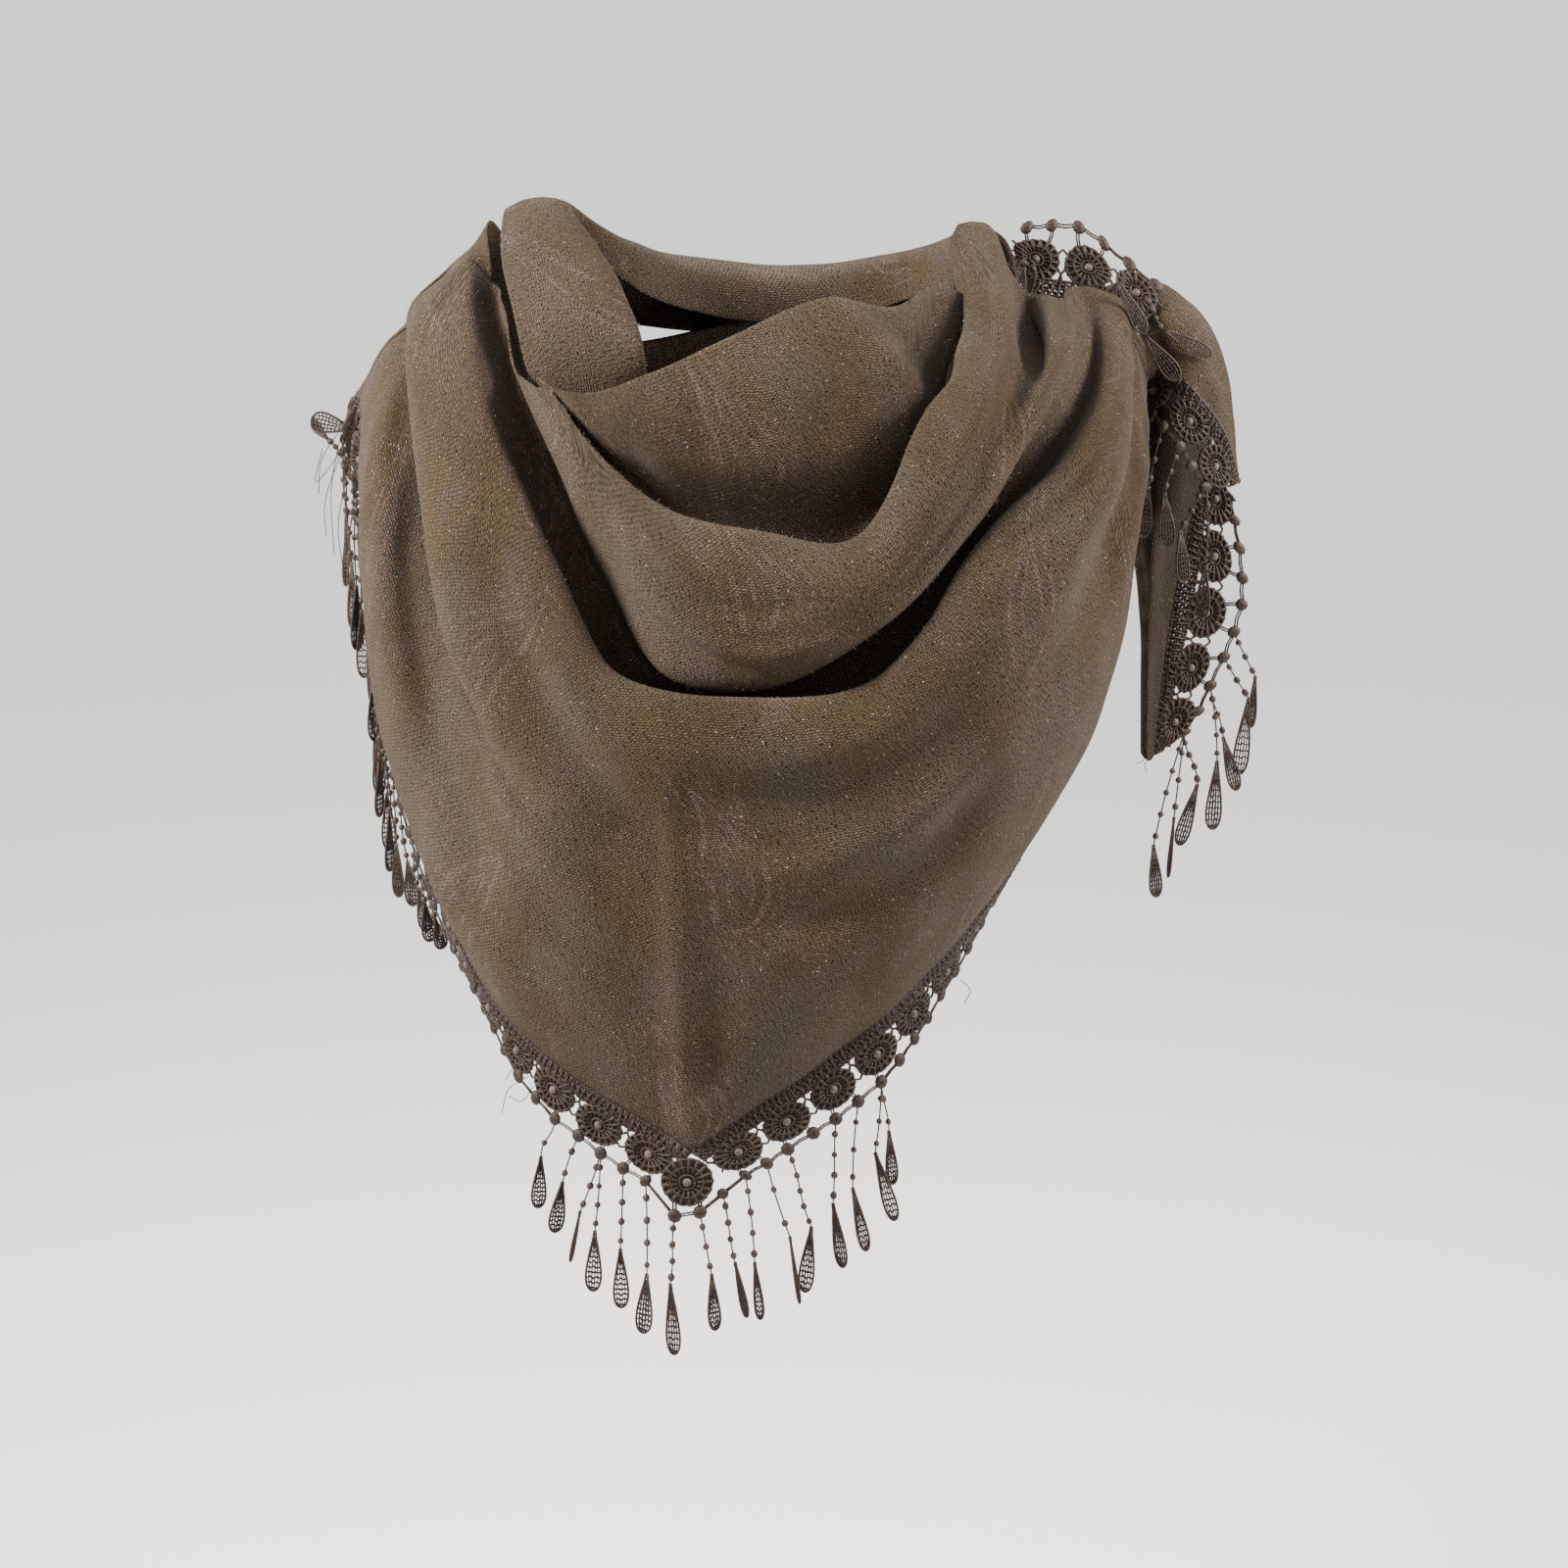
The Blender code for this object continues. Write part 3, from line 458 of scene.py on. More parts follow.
class Paint:
    """A Principled material and the few nodes that its fields start from."""

    def __init__(self, name, roughness, specular=0.2, sheen=0.0, sheen_roughness=0.5, sheen_tint=(1, 1, 1)):
        self.material = bpy.data.materials.new(name)
        self.material.use_nodes = True
        self.tree = self.material.node_tree
        self.shader = self.tree.nodes["Principled BSDF"]
        self.shader.inputs["Roughness"].default_value = roughness
        self.shader.inputs["Specular IOR Level"].default_value = specular
        self.shader.inputs["Sheen Weight"].default_value = sheen
        self.shader.inputs["Sheen Roughness"].default_value = sheen_roughness
        self.shader.inputs["Sheen Tint"].default_value = (*sheen_tint, 1)
        self.place = self.tree.nodes.new("ShaderNodeTexCoord")

    def uv(self):
        """The cloth laid flat, in metres."""
        node = self.tree.nodes.new("ShaderNodeUVMap")
        node.uv_map = "cut"
        return node.outputs["UV"]

    def parts(self, vector):
        node = self.tree.nodes.new("ShaderNodeSeparateXYZ")
        self.tree.links.new(vector, node.inputs[0])
        return [Field(self.tree, node.outputs[i]) for i in range(3)]

    def joined(self, x, y, z=0.0):
        node = self.tree.nodes.new("ShaderNodeCombineXYZ")
        for i, value in enumerate((x, y, z)):
            if isinstance(value, Field):
                self.tree.links.new(value.socket, node.inputs[i])
            else:
                node.inputs[i].default_value = value
        return node.outputs[0]

    def noise(self, size, vector=None, detail=2.0, rough=0.5):
        """Smooth noise from 0 to 1 with swellings about `size` metres across."""
        node = self.tree.nodes.new("ShaderNodeTexNoise")
        node.inputs["Scale"].default_value = 1 / size
        node.inputs["Detail"].default_value = detail
        node.inputs["Roughness"].default_value = rough
        self.tree.links.new(self.place.outputs["Object"] if vector is None else vector, node.inputs["Vector"])
        return Field(self.tree, node.outputs["Fac"])

    def mix(self, share, first, second):
        """A colour between two; each is a colour or a socket."""
        node = self.tree.nodes.new("ShaderNodeMix")
        node.data_type = "RGBA"
        self.tree.links.new(share.socket, node.inputs["Factor"])
        for name, value in (("A", first), ("B", second)):
            socket = [s for s in node.inputs if s.name == name and s.type == "RGBA"][0]
            if isinstance(value, tuple):
                socket.default_value = (*value, 1)
            else:
                self.tree.links.new(value, socket)
        return [s for s in node.outputs if s.type == "RGBA"][0]

    def finish(self, colour, height, strength, distance):
        self.tree.links.new(colour, self.shader.inputs["Base Color"])
        bump = self.tree.nodes.new("ShaderNodeBump")
        bump.inputs["Strength"].default_value = strength
        bump.inputs["Distance"].default_value = distance
        self.tree.links.new(height.socket, bump.inputs["Height"])
        self.tree.links.new(bump.outputs["Normal"], self.shader.inputs["Normal"])
        return self.material


def boteh(p, u, v, wide, high, lean):
    """Signed distance, about in metres, from a curled drop that is `wide` by `high`, with its foot at
    the origin; below 0 inside it."""
    y = v / high
    bend = (y * y) * lean
    half = (y + 0.12).op("MAXIMUM", 0.0).op("SQRT") * ((y * -1.0) + 1.0).op("MAXIMUM", 0.0) * wide
    beyond = ((y - 0.45).abs() - 0.57) * high
    return ((u - bend).abs() - half).op("MAXIMUM", beyond)


def twill(name, shade):
    """Brushed twill: rows of short dashes with pinholes between them, patches of olive, grey and mauve,
    and a tone-on-tone pattern of curled drops, scrolls and hatched leaves."""
    # every colour times `shade`: at 1 the cloth as it is, below 1 a darker copy of the same cloth, which is painted
    # shade
    def painted_shade_of(*colour):
        return tuple(c * shade for c in colour)

    p = Paint(name, 0.95, specular=0.10, sheen=0.05, sheen_roughness=0.5, sheen_tint=(0.80, 0.74, 0.68))
    u, v, _ = p.parts(p.uv())
    wander = p.noise(0.0035, p.uv(), 2.0)
    # rows 1.2 mm apart, dashes 2.1 mm long, each row set off by a third
    row = v / 0.0012 + (wander * 1.6)
    line = row.floor()
    dash = u / 0.0021 + (line * 0.37) + (wander * 2.6)
    across = ((row.fract() - 0.5) * 2.0).abs()
    along = ((dash.fract() - 0.5) * 2.0).abs()
    yarn = across.step(1.05, 0.15) * along.step(1.05, 0.45)
    pinhole = along.step(0.66, 0.92) * across.step(1.0, 0.5)
    chance = p.noise(0.0017, p.uv(), 0.0).step(0.42, 0.56)
    pinhole = pinhole * chance
    lint = p.noise(0.0011, None, 0.0).step(0.81, 0.85)

    # the pattern, on the cloth laid flat
    bend = (p.noise(0.05, p.uv(), 1.0) - 0.5) * 0.012
    pu, pv = u + bend, v + bend
    cell_u, cell_v = 0.150, 0.120
    column = (pu / cell_u + 0.5).floor()
    flip = ((column * 0.5).fract() * 4.0) - 1.0
    x = ((pu / cell_u + 0.5).fract() - 0.5) * cell_u * flip
    y = ((pv / cell_v + (column * 0.45)).fract() - 0.30) * cell_v
    drop = boteh(p, x, y, 0.030, 0.062, 0.030)
    rim = drop.abs().step(0.0026, 0.0006)
    second = (drop + 0.008).abs().step(0.0016, 0.0005)
    core = (drop + 0.017).step(0.001, -0.002) * 0.6
    halo = (drop - 0.007).abs().step(0.0015, 0.0004) * (v * 1300.0).sin().step(-0.4, 0.4)
    scroll = (pv - ((pu * 46.0).sin() * 0.011) - ((pu * 17.0).sin() * 0.014) + 0.018).abs().step(0.0020, 0.0006)
    scroll_2 = (pv - ((pu * 61.0 + 1.0).sin() * 0.008) + 0.062).abs().step(0.0018, 0.0005)
    leaf_place = p.noise(0.026, p.uv(), 0.0).step(0.62, 0.68)
    hatch = ((pv + pu * 0.3) * 1700.0).sin().step(-0.7, 0.7) * leaf_place
    broken = p.noise(0.014, p.uv(), 1.0).step(0.34, 0.60)
    lines = (rim.op("MAXIMUM", second).op("MAXIMUM", core).op("MAXIMUM", halo)
             .op("MAXIMUM", scroll).op("MAXIMUM", scroll_2)) * broken
    pattern = lines.op("MAXIMUM", hatch * 0.3) * (yarn * 0.6 + 0.4)

    olive, umber = painted_shade_of(0.057, 0.0385, 0.0190), painted_shade_of(0.043, 0.028, 0.0140)
    grey, mauve = painted_shade_of(0.056, 0.0465, 0.0365), painted_shade_of(0.067, 0.045, 0.040)
    c = p.mix(p.noise(0.050, None, 2.0).step(0.35, 0.65), olive, umber)
    c = p.mix(p.noise(0.070, p.uv(), 2.0).step(0.38, 0.66) * 0.75, c, grey)
    c = p.mix(p.noise(0.028, p.uv(), 2.0).step(0.52, 0.66) * 0.6, c, mauve)
    c = p.mix(pattern * 0.74, c, painted_shade_of(0.125, 0.078, 0.072))
    nap = p.noise(0.0009, None, 2.0, 0.7)
    c = p.mix(nap.step(0.48, 0.72) * 0.46, c, painted_shade_of(0.150, 0.107, 0.060))
    c = p.mix((yarn * -1.0 + 1.0) * 0.78, c, (0.010, 0.006, 0.003))
    c = p.mix(pinhole * 0.95, c, (0.004, 0.003, 0.002))
    c = p.mix(lint * 0.6, c, painted_shade_of(0.30, 0.27, 0.23))
    height = yarn * 0.9 + nap * 1.1 - pinhole * 0.9 + pattern * 0.15
    return p.finish(c, height, 0.8, 0.0007)


def corded(name, base, light, sheen):
    """Cotton cord wrapped in fine thread."""
    p = Paint(name, 0.55, specular=0.25, sheen=sheen, sheen_roughness=0.4, sheen_tint=(0.8, 0.75, 0.7))
    thread = p.noise(0.0008, None, 2.0, 0.65)
    patch = p.noise(0.012, None, 1.0)
    c = p.mix(thread.step(0.35, 0.72), base, light)
    c = p.mix(patch.step(0.45, 0.75) * 0.4, c, (light[0] * 1.25, light[1] * 1.25, light[2] * 1.3))
    return p.finish(c, thread, 0.6, 0.0005)


# ---------------------------------------------------------------- the lace
FAN = 0.027             # from one flower to the next; two pips hang from each
CORD = 0.00045          # radius of the linking cords


def square_to(head, foot):
    """The points of the curve `foot` that lie square to the curve `head`, one for each of its points."""
    way = unit(np.gradient(head, axis=0))
    place = np.linspace(0, len(foot) - 1, 6 * len(foot))
    fine = np.stack([np.interp(place, np.arange(len(foot)), foot[:, k]) for k in range(3)], axis=-1)
    off = np.abs(np.sum((fine[None] - head[:, None]) * way[:, None], axis=-1)) + 0.15 * np.linalg.norm(fine[None] - head[:, None], axis=-1)
    pick = np.maximum.accumulate(np.argmin(off, axis=1)).astype(float)
    pick = np.convolve(np.pad(pick, 6, mode="edge"), np.ones(13) / 13, mode="valid")
    return np.stack([np.interp(pick, np.arange(len(fine)), fine[:, k]) for k in range(3)], axis=-1)


class Band:
    """The strip from the edge that a lace is sewn to, to its free edge. Places on it are metres along,
    share of its depth, and metres off it."""

    def __init__(self, head, foot, away, squared=True):
        foot = square_to(head, foot) if squared else foot
        self.head, self.foot = head, foot
        middle = (head + foot) / 2
        self.far = np.r_[0, np.cumsum(np.linalg.norm(np.diff(middle, axis=0), axis=1))]
        self.length = self.far[-1]
        off = unit(np.cross(unit(np.gradient(middle, axis=0)), unit(foot - head)))
        self.off = off * np.sign(np.sum(off * (middle - np.asarray(away)), axis=-1).mean())

    def at(self, s, t, h=0.0):
        s, t, h = np.broadcast_arrays(np.asarray(s, float), t, h)
        head, foot, off = (np.stack([np.interp(s, self.far, c[:, k]) for k in range(3)], axis=-1)
                           for c in (self.head, self.foot, self.off))
        return head * (1 - t[..., None]) + foot * t[..., None] + unit(off) * h[..., None]

    def depth(self, s):
        return float(np.linalg.norm(self.at(s, 1.0) - self.at(s, 0.0)))


def cord(heap, band, places, radius=CORD, sides=4):
    places = np.array(places, float)
    heap.tube(band.at(places[:, 0], places[:, 1], places[:, 2]), radius, sides, side_way=band.off.mean(axis=0))


def flower(heap, band, s, t, wide, high, petals, boss_heap, boss):
    """A round of stitches radiating from a boss, scalloped at its rim."""
    turn = np.linspace(0, 2 * np.pi, petals * 6, endpoint=False)
    deep = band.depth(s)
    shares = np.array([0.10, 0.3, 0.55, 0.8, 0.95, 1.0])
    rise = np.array([0.6, 0.9, 1.0, 1.1, 0.8, 0.0]) * 0.0008
    rib = 0.8 + 0.2 * np.cos(turn * petals)
    for side in (1, -1):
        r = shares[:, None] * (1 - 0.07 * shares[:, None] * (1 - np.abs(np.cos(turn * petals / 2))))
        points = band.at(s + r * wide * np.cos(turn), t + r * high / deep * np.sin(turn),
                         side * rise[:, None] * rib * (1.0 if side > 0 else 0.6))
        heap.grid(points[::-side], closed_around=True)
    ring = np.linspace(0, 2 * np.pi, 17)
    cord(heap, band, np.stack([s + 0.30 * wide * np.cos(ring), t + 0.30 * high / deep * np.sin(ring), np.full(17, 0.0009)], axis=1), 0.0007)
    # the stitches, each rounding one scallop
    for angle in np.linspace(0, 2 * np.pi, petals, endpoint=False):
        c, q = wide * np.cos(angle), high / deep * np.sin(angle)
        places = np.array([(s + x * c, t + x * q, h) for x, h in ((0.34, 0.0008), (0.62, 0.0011), (0.88, 0.0009), (0.99, 0.0003))])
        heap.tube(band.at(places[:, 0], places[:, 1], places[:, 2]), np.array([0.0004, 0.0006, 0.0009, 0.0007]) * wide / 0.011, 5,
                  side_way=band.off.mean(axis=0))
    # a rope round it, and one halfway
    ring = np.linspace(0, 2 * np.pi, 49)
    for share, radius, h in ((0.93, 0.00075, 0.0008), (0.62, 0.00055, 0.0013)):
        wave = 1 + 0.022 * np.cos(ring * petals * 2)
        cord(heap, band, np.stack([s + share * wide * wave * np.cos(ring), t + share * high / deep * wave * np.sin(ring), np.full(49, h)], axis=1), radius)
    if boss:
        centre = band.at(s, t, 0.0007)
        boss_heap.ball(centre, boss, along=np.interp(s, band.far, band.off[:, 0]) * np.array([1, 0, 0])
                       + np.interp(s, band.far, band.off[:, 1]) * np.array([0, 1, 0])
                       + np.interp(s, band.far, band.off[:, 2]) * np.array([0, 0, 1]), stretch=0.7, rings=6, sides=10)


def pip(heap, band, s, t, radius):
    """A small round knot with stitches across it."""
    turn = np.linspace(0, 2 * np.pi, 20, endpoint=False)
    deep = band.depth(s)
    shares, rise = np.array([0.05, 0.4, 0.7, 0.9, 1.0]), np.array([1.0, 0.95, 0.75, 0.45, 0.0]) * 0.0017
    for side in (1, -1):
        r = shares[:, None] * (1 + 0.03 * np.cos(turn * 12))
        points = band.at(s + r * radius * np.cos(turn), t + r * radius / deep * np.sin(turn), side * rise[:, None] * (0.9 + 0.1 * np.cos(turn * 12)))
        heap.grid(points[::-side], closed_around=True)


def lace(heap, boss_heap, band, seed):
    """Header ropes, flowers, linking cords and pips along a band. Gives back the pips' places."""
    dice = np.random.default_rng(seed)
    count = max(2, round(band.length / FAN))
    pitch = band.length / count
    s = np.linspace(0, band.length, max(12, int(band.length / 0.0011)))
    wave = 2 * np.pi * s / 0.0031
    for t, amp, r, phase in ((0.010, 0.000, 0.0011, 0.0), (0.060, 0.016, 0.0010, 0.0), (0.105, 0.016, 0.0010, np.pi),
                             (0.155, 0.014, 0.0010, 1.1), (0.205, 0.014, 0.0010, 2.9), (0.25, 0.010, 0.0009, 0.6)):
        cord(heap, band, np.stack([s, t + amp * np.sin(wave + phase), 0.0003 + 0.0006 * np.cos(wave + phase)], axis=1), r)
    # short stitches across the header
    for x in np.arange(0.002, band.length - 0.001, 0.0034):
        lean = dice.uniform(-0.0012, 0.0022)
        cord(heap, band, ((x, 0.0, 0.0010), (x + lean / 2, 0.12, 0.0017), (x + lean, 0.27, 0.0008)), 0.00055, 4)
    pips = []
    for i in range(count):
        c = (i + 0.5) * pitch
        tilt = dice.uniform(-0.03, 0.03)
        flower(heap, band, c, 0.49 + tilt * 0.5, pitch * 0.46, 0.0087 * max(1.0, band.depth(c) / LACE_DEPTH), 17, boss_heap, 0.0022)
        for side in (-1, 1):
            # bars to the header and to the next flower
            cord(heap, band, ((c + side * pitch * 0.46, 0.20, 0), (c + side * pitch * 0.50, 0.34, 0.0003), (c + side * pitch * 0.40, 0.44, 0.0004)), 0.0007)
            cord(heap, band, ((c + side * pitch * 0.36, 0.56, 0), (c + side * pitch * 0.44, 0.62, 0), (c + side * pitch * 0.50, 0.66, 0)), 0.0006)
            # double cords down to the pips
            for lean in (-0.0006, 0.0006):
                cord(heap, band, ((c + side * pitch * 0.20 + lean, 0.72, 0), (c + side * pitch * 0.24 + lean, 0.82, 0.0003), (c + side * pitch * 0.25 + lean, 0.92, 0)))
            pips.append((c + side * pitch * 0.25, 0.95))
    pips = [(a + dice.uniform(-0.0008, 0.0008), b + dice.uniform(-0.015, 0.03)) for a, b in pips]
    for x, t in pips:
        pip(heap, band, x, t, 0.0033)
    for (x0, t0), (x1, t1) in zip(pips, pips[1:]):
        for lean in (-0.018, 0.018):
            cord(heap, band, ((x0 + 0.0028, t0 + lean, 0), ((x0 + x1) / 2, (t0 + t1) / 2 - 0.02 + lean, 0.0002), (x1 - 0.0028, t1 + lean, 0)))
    return pips


# ---------------------------------------------------------------- bead strings and netted drops
def net_drop(heap, top, bottom, wide, turned, tilt):
    """A netted teardrop from its neck to its round end."""
    axis = bottom - top
    length = np.linalg.norm(axis)
    axis = axis / length
    side = unit(np.cross(axis, np.array([np.sin(turned), -np.cos(turned), 0.0])))
    front = np.cross(side, axis)
    t = np.sin(np.linspace(0, np.pi / 2, 16))
    half = 0.5 * wide * 1.32 * t ** 0.95 * np.maximum(1 - t ** 4, 0) ** 0.5
    half[0] = 0.0004
    spine = top + axis * length * t[:, None] + front * (tilt * np.sin(np.pi * t))[:, None]
    left, right = spine - side * half[:, None], spine + side * half[:, None]
    heap.tube(np.concatenate([left, right[::-1][1:]]), 0.00062, 5, side_way=front)
    bulge = 0.16 * half
    for share in (-0.6, -0.2, 0.2, 0.6):
        for face in (1, -1):
            line = spine + side * (share * half)[:, None] + front * (face * bulge * np.sqrt(1 - share ** 2))[:, None]
            heap.tube(line[1:-1:2], 0.00036, 3, side_way=front)
    for k, x in enumerate(np.linspace(0.26, 0.95, 9)):
        h = np.interp(x, t, half)
        centre = np.array([np.interp(x, t, spine[:, n]) for n in range(3)])
        u = np.linspace(-1, 1, 5)
        for face in (1, -1):
            rise = 0.16 * h * np.sqrt(np.maximum(1 - u * u, 0)) * face
            line = centre + side * (u * h)[:, None] + front * rise[:, None] + axis * (0.0006 * np.cos(np.pi * u * 2 + k))[:, None]
            heap.tube(line, 0.00038, 3, side_way=front)


def bead_string(heap, start, end, beads, slack, dice):
    """A thin cord with beads, from a pip to the neck of a drop."""
    t = np.linspace(0, 1, 12)
    sway = unit(np.cross(end - start, [0, 1, 0.1])) * slack
    path = start * (1 - t[:, None]) + end * t[:, None] + sway * np.sin(np.pi * t * dice.choice([1, 2]))[:, None]
    heap.tube(path, 0.00042, 5)
    for k in range(beads):
        x = (k + 0.75) / (beads + 0.15)
        i = min(x, 0.97) * 11
        a = int(i)
        heap.ball(path[a] * (1 - (i - a)) + path[a + 1] * (i - a), 0.0016 * dice.uniform(0.9, 1.15),
                  along=end - start, stretch=dice.uniform(0.95, 1.25), rings=6, sides=9)


def hang(heap, start, reach, dice, wide=0.0082, share=0.56, beads=4, turned=None, tilt=0.0):
    """A bead string and its drop, from start to the end of its reach."""
    neck = start * (1 - share) + reach * share
    bead_string(heap, start, neck, beads, dice.uniform(-0.0012, 0.0012), dice)
    net_drop(heap, neck, reach, wide, dice.uniform(-0.5, 0.5) if turned is None else turned, tilt)


# The sewn edge of the shoulder's lace, laid on the cloth.
SHOULDER_HEAD = ((1030, 268, 14), (1054, 300, 12), (1092, 309, 13), (1138, 310, 9), (1166, 330, 4))

# Where the two front laces meet: the strip that one flower fills, on the drawing.
POINT_HEAD = ((668, 1172, -152), (702, 1174, -153), (736, 1172, -152))
POINT_FOOT = ((668, 1240, -157), (702, 1242, -158), (736, 1240, -157))

# The drops that show below the point and on the end over the +X shoulder, on the drawing: where the
# string leaves the lace, neck and end of the drop, mm behind the neck, and the width in mm. A narrow
# one hangs edge-on.
DROPS_FRONT = (
    # string top     neck           end           deep   wide  beads
    ((555, 1172), (552, 1180), (549, 1232), -124, 8.0, 1),
    ((580, 1165), (574, 1206), (566, 1257), -130, 8.5, 2),
    ((592, 1180), (592, 1236), (582, 1287), -134, 1.8, 3),
    ((612, 1188), (607, 1256), (605, 1317), -138, 9.0, 4),
    ((634, 1212), (633, 1274), (634, 1334), -142, 8.5, 4),
    ((658, 1232), (660, 1300), (656, 1360), -148, 9.5, 4),
    ((684, 1246), (684, 1310), (688, 1382), -152, 8.0, 4),
    ((722, 1232), (726, 1300), (730, 1357), -154, 7.0, 3),
    ((744, 1218), (750, 1288), (762, 1344), -152, 4.0, 4),
    ((768, 1208), (770, 1288), (776, 1346), -150, 5.0, 4),
    ((798, 1196), (806, 1262), (816, 1330), -146, 1.8, 2),
    ((822, 1176), (828, 1252), (821, 1318), -142, 8.5, 5),
    ((848, 1158), (850, 1228), (860, 1293), -138, 7.0, 4),
    ((872, 1140), (870, 1212), (884, 1276), -133, 6.5, 3),
    ((893, 1118), (893, 1176), (913, 1245), -130, 7.5, 3),
    ((910, 1102), (907, 1154), (911, 1208), -126, 6.5, 2),
)
DROPS_TAIL = (
    ((1275, 668), (1274, 712), (1264, 790), 12, 9.0, 3),
    ((1268, 640), (1281, 690), (1276, 742), 16, 5.0, 3),
    ((1250, 692), (1248, 752), (1262, 806), 8, 8.0, 3),
    ((1236, 716), (1242, 776), (1237, 846), 6, 9.5, 4),
    ((1218, 742), (1222, 800), (1203, 862), 3, 8.5, 4),
    ((1196, 762), (1198, 834), (1192, 895), 0, 2.0, 3),
    ((1180, 782), (1177, 862), (1180, 915), -3, 8.0, 5),
)
# On the shoulder: the drops that lie across the top of the end, and those on the lace of its fold.
DROPS_SHOULDER = (
    ((1150, 278), (1143, 290), (1168, 340), -14, 8.0, 0),
    ((1168, 302), (1186, 336), (1236, 362), -10, 7.0, 4),
    ((1162, 318), (1168, 342), (1202, 387), -14, 9.5, 0),
    ((1048, 262), (1045, 272), (1040, 301), -6, 6.0, 1),
    ((1052, 266), (1057, 278), (1046, 300), -4, 5.0, 1),
)
DROPS_FOLD = (
    ((1172, 462), (1172, 496), (1166, 548), -14, 8.0, 3),
    ((1186, 470), (1188, 502), (1192, 558), -16, 8.5, 3),
    ((1206, 500), (1204, 540), (1208, 594), -16, 8.0, 3),
    ((1228, 528), (1230, 576), (1226, 630), -12, 8.0, 3),
)


def placed_drops(heap, table, seed, pips=None):
    dice = np.random.default_rng(seed)
    for top, neck, end, deep, wide, beads in table:
        top, neck, end = (seen((*place, deep)) for place in (top, neck, end))
        if pips is not None:
            top = pips[np.argmin(np.linalg.norm(drawn(pips) - drawn(top), axis=1))]
        bead_string(heap, top, neck, beads, dice.uniform(-0.0010, 0.0010), dice)
        net_drop(heap, neck, end, wide / 1000, dice.uniform(-0.35, 0.35), 0.0)


# ---------------------------------------------------------------- the cloth
FINE = {"front": (21, 9), "collar": (16, 14), "back": (24, 10), "under": (24, 8), "tail": (14, 14)}


def cloth_sheets():
    """Every stretch of cloth as rows of points, the same folds as the solids at a finer step."""
    front_ends = seen(list(FRONT.values()))
    first = list(FRONT).index("floor_1")
    shoulder = seen(BACK_SHOULDER)
    top, hem = millimetres(BACK_TOP), millimetres(BACK_HEM)
    across = spread(top, hem, len(shoulder), BACK_RIPPLE, BACK_BULGE)
    back_ends = np.concatenate([front_ends[first:, :1], shoulder[:, None], across], axis=1)
    # each fold line leaves its end the way it goes on past the shoulder
    past = front_ends[:, 0] * 2 - front_ends[:, 1]
    past[first:] = shoulder
    front = smooth(front_ends, FINE["front"][0], axis=1, before=past)
    # the last line turns a corner at the point
    point = FRONT_COLUMNS.index("low")
    front[-1] = np.concatenate([smooth(front_ends[-1, :point + 1], FINE["front"][0], before=past[-1])[:-1],
                                smooth(front_ends[-1, point:], FINE["front"][0])])
    front = smooth(front, FINE["front"][1])
    back = sheet(back_ends, *FINE["back"], before=front_ends[first:, 1])
    collar_ends = []
    for name, line in COLLAR_FRONT.items():
        radius, height = COLLAR_BACK[name]
        turn = np.radians(COLLAR_TURNS)
        behind = np.stack([COLLAR_WIDE * radius * np.sin(turn), radius * np.cos(turn),
                           height + COLLAR_LIFT * np.sin(turn) ** 2], axis=-1)
        collar_ends.append(np.vstack([seen(line), millimetres(behind), millimetres([COLLAR_END[name]])]))
    collar = sheet(np.array(collar_ends), *FINE["collar"])
    under = sheet(spread(millimetres(UNDER_TOP), millimetres(UNDER_HEM), 7, UNDER_RIPPLE, UNDER_BULGE), *FINE["under"])
    ends = []
    for table, shares in ((TAIL, TAIL_SHARES), (TAIL_END, TAIL_END_SHARES)):
        start, before = between(top[-1], hem[-1], shares), between(top[-2], hem[-2], shares)
        ends.append(sheet(np.concatenate([start[:, None], seen(list(table.values()))], axis=1), *FINE["tail"], before=before))
    return {"front": front, "back": back, "collar": collar, "under": under, "tail": ends[0], "tail_end": ends[1]}


def outward(rows, away_from):
    """Normals that point away from a place."""
    face = normals(rows)
    side = np.sign(np.sum(face * (rows - np.asarray(away_from)), axis=-1).mean())
    return face * side


def hanging(edge, depth, swing=0.0):
    out = unit(edge * np.array([1, 1, 0]))
    return edge + unit(out * swing + np.array([0, 0, -1.0])) * depth


def belongs(piece, slot, *nodes):
    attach(piece, "root")
    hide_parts(*nodes)
    return piece


# the second twill is the same cloth with painted shade, its colours at 0.34, for the end under the fold on the +X
# shoulder, which lies in shadow
weave, painted_shade_weave = twill("brushed_twill_woven", 1.0), twill("brushed_twill_painted_shade", 0.34)
sheets = cloth_sheets()
names = list(FRONT)
face = outward(sheets["front"], (0, 0, -0.1))
rows_each = FINE["front"][1]
sheets["front"] = crease(sheets["front"], face, COWL_CREASES, 0, names.index("under_1") * rows_each)
sheets["front"] = crease(sheets["front"], face, CHEST_CREASES, names.index("crest_2") * rows_each, len(sheets["front"]))
sheets["front"] = swell(sheets["front"], face, 0.0007, 0.055, 3)
for name, creases in (("back", BACK_CREASES), ("under", UNDER_CREASES)):
    sheets[name] = crease(sheets[name], outward(sheets[name], (0, 0, -0.1)), creases, 0, len(sheets[name]))
for name, away, height, size, seed in (("back", (0, 0, -0.1), 0.0010, 0.06, 4), ("under", (0, 0, -0.1), 0.0006, 0.05, 5),
                                       ("tail", (0.14, 0.05, -0.05), 0.0004, 0.03, 6), ("tail_end", (0.14, 0.08, -0.1), 0.0003, 0.03, 7)):
    sheets[name] = swell(sheets[name], outward(sheets[name], away), height, size, seed)
sheets["collar"] = swell(sheets["collar"], normals(sheets["collar"]), 0.0006, 0.04, 8)

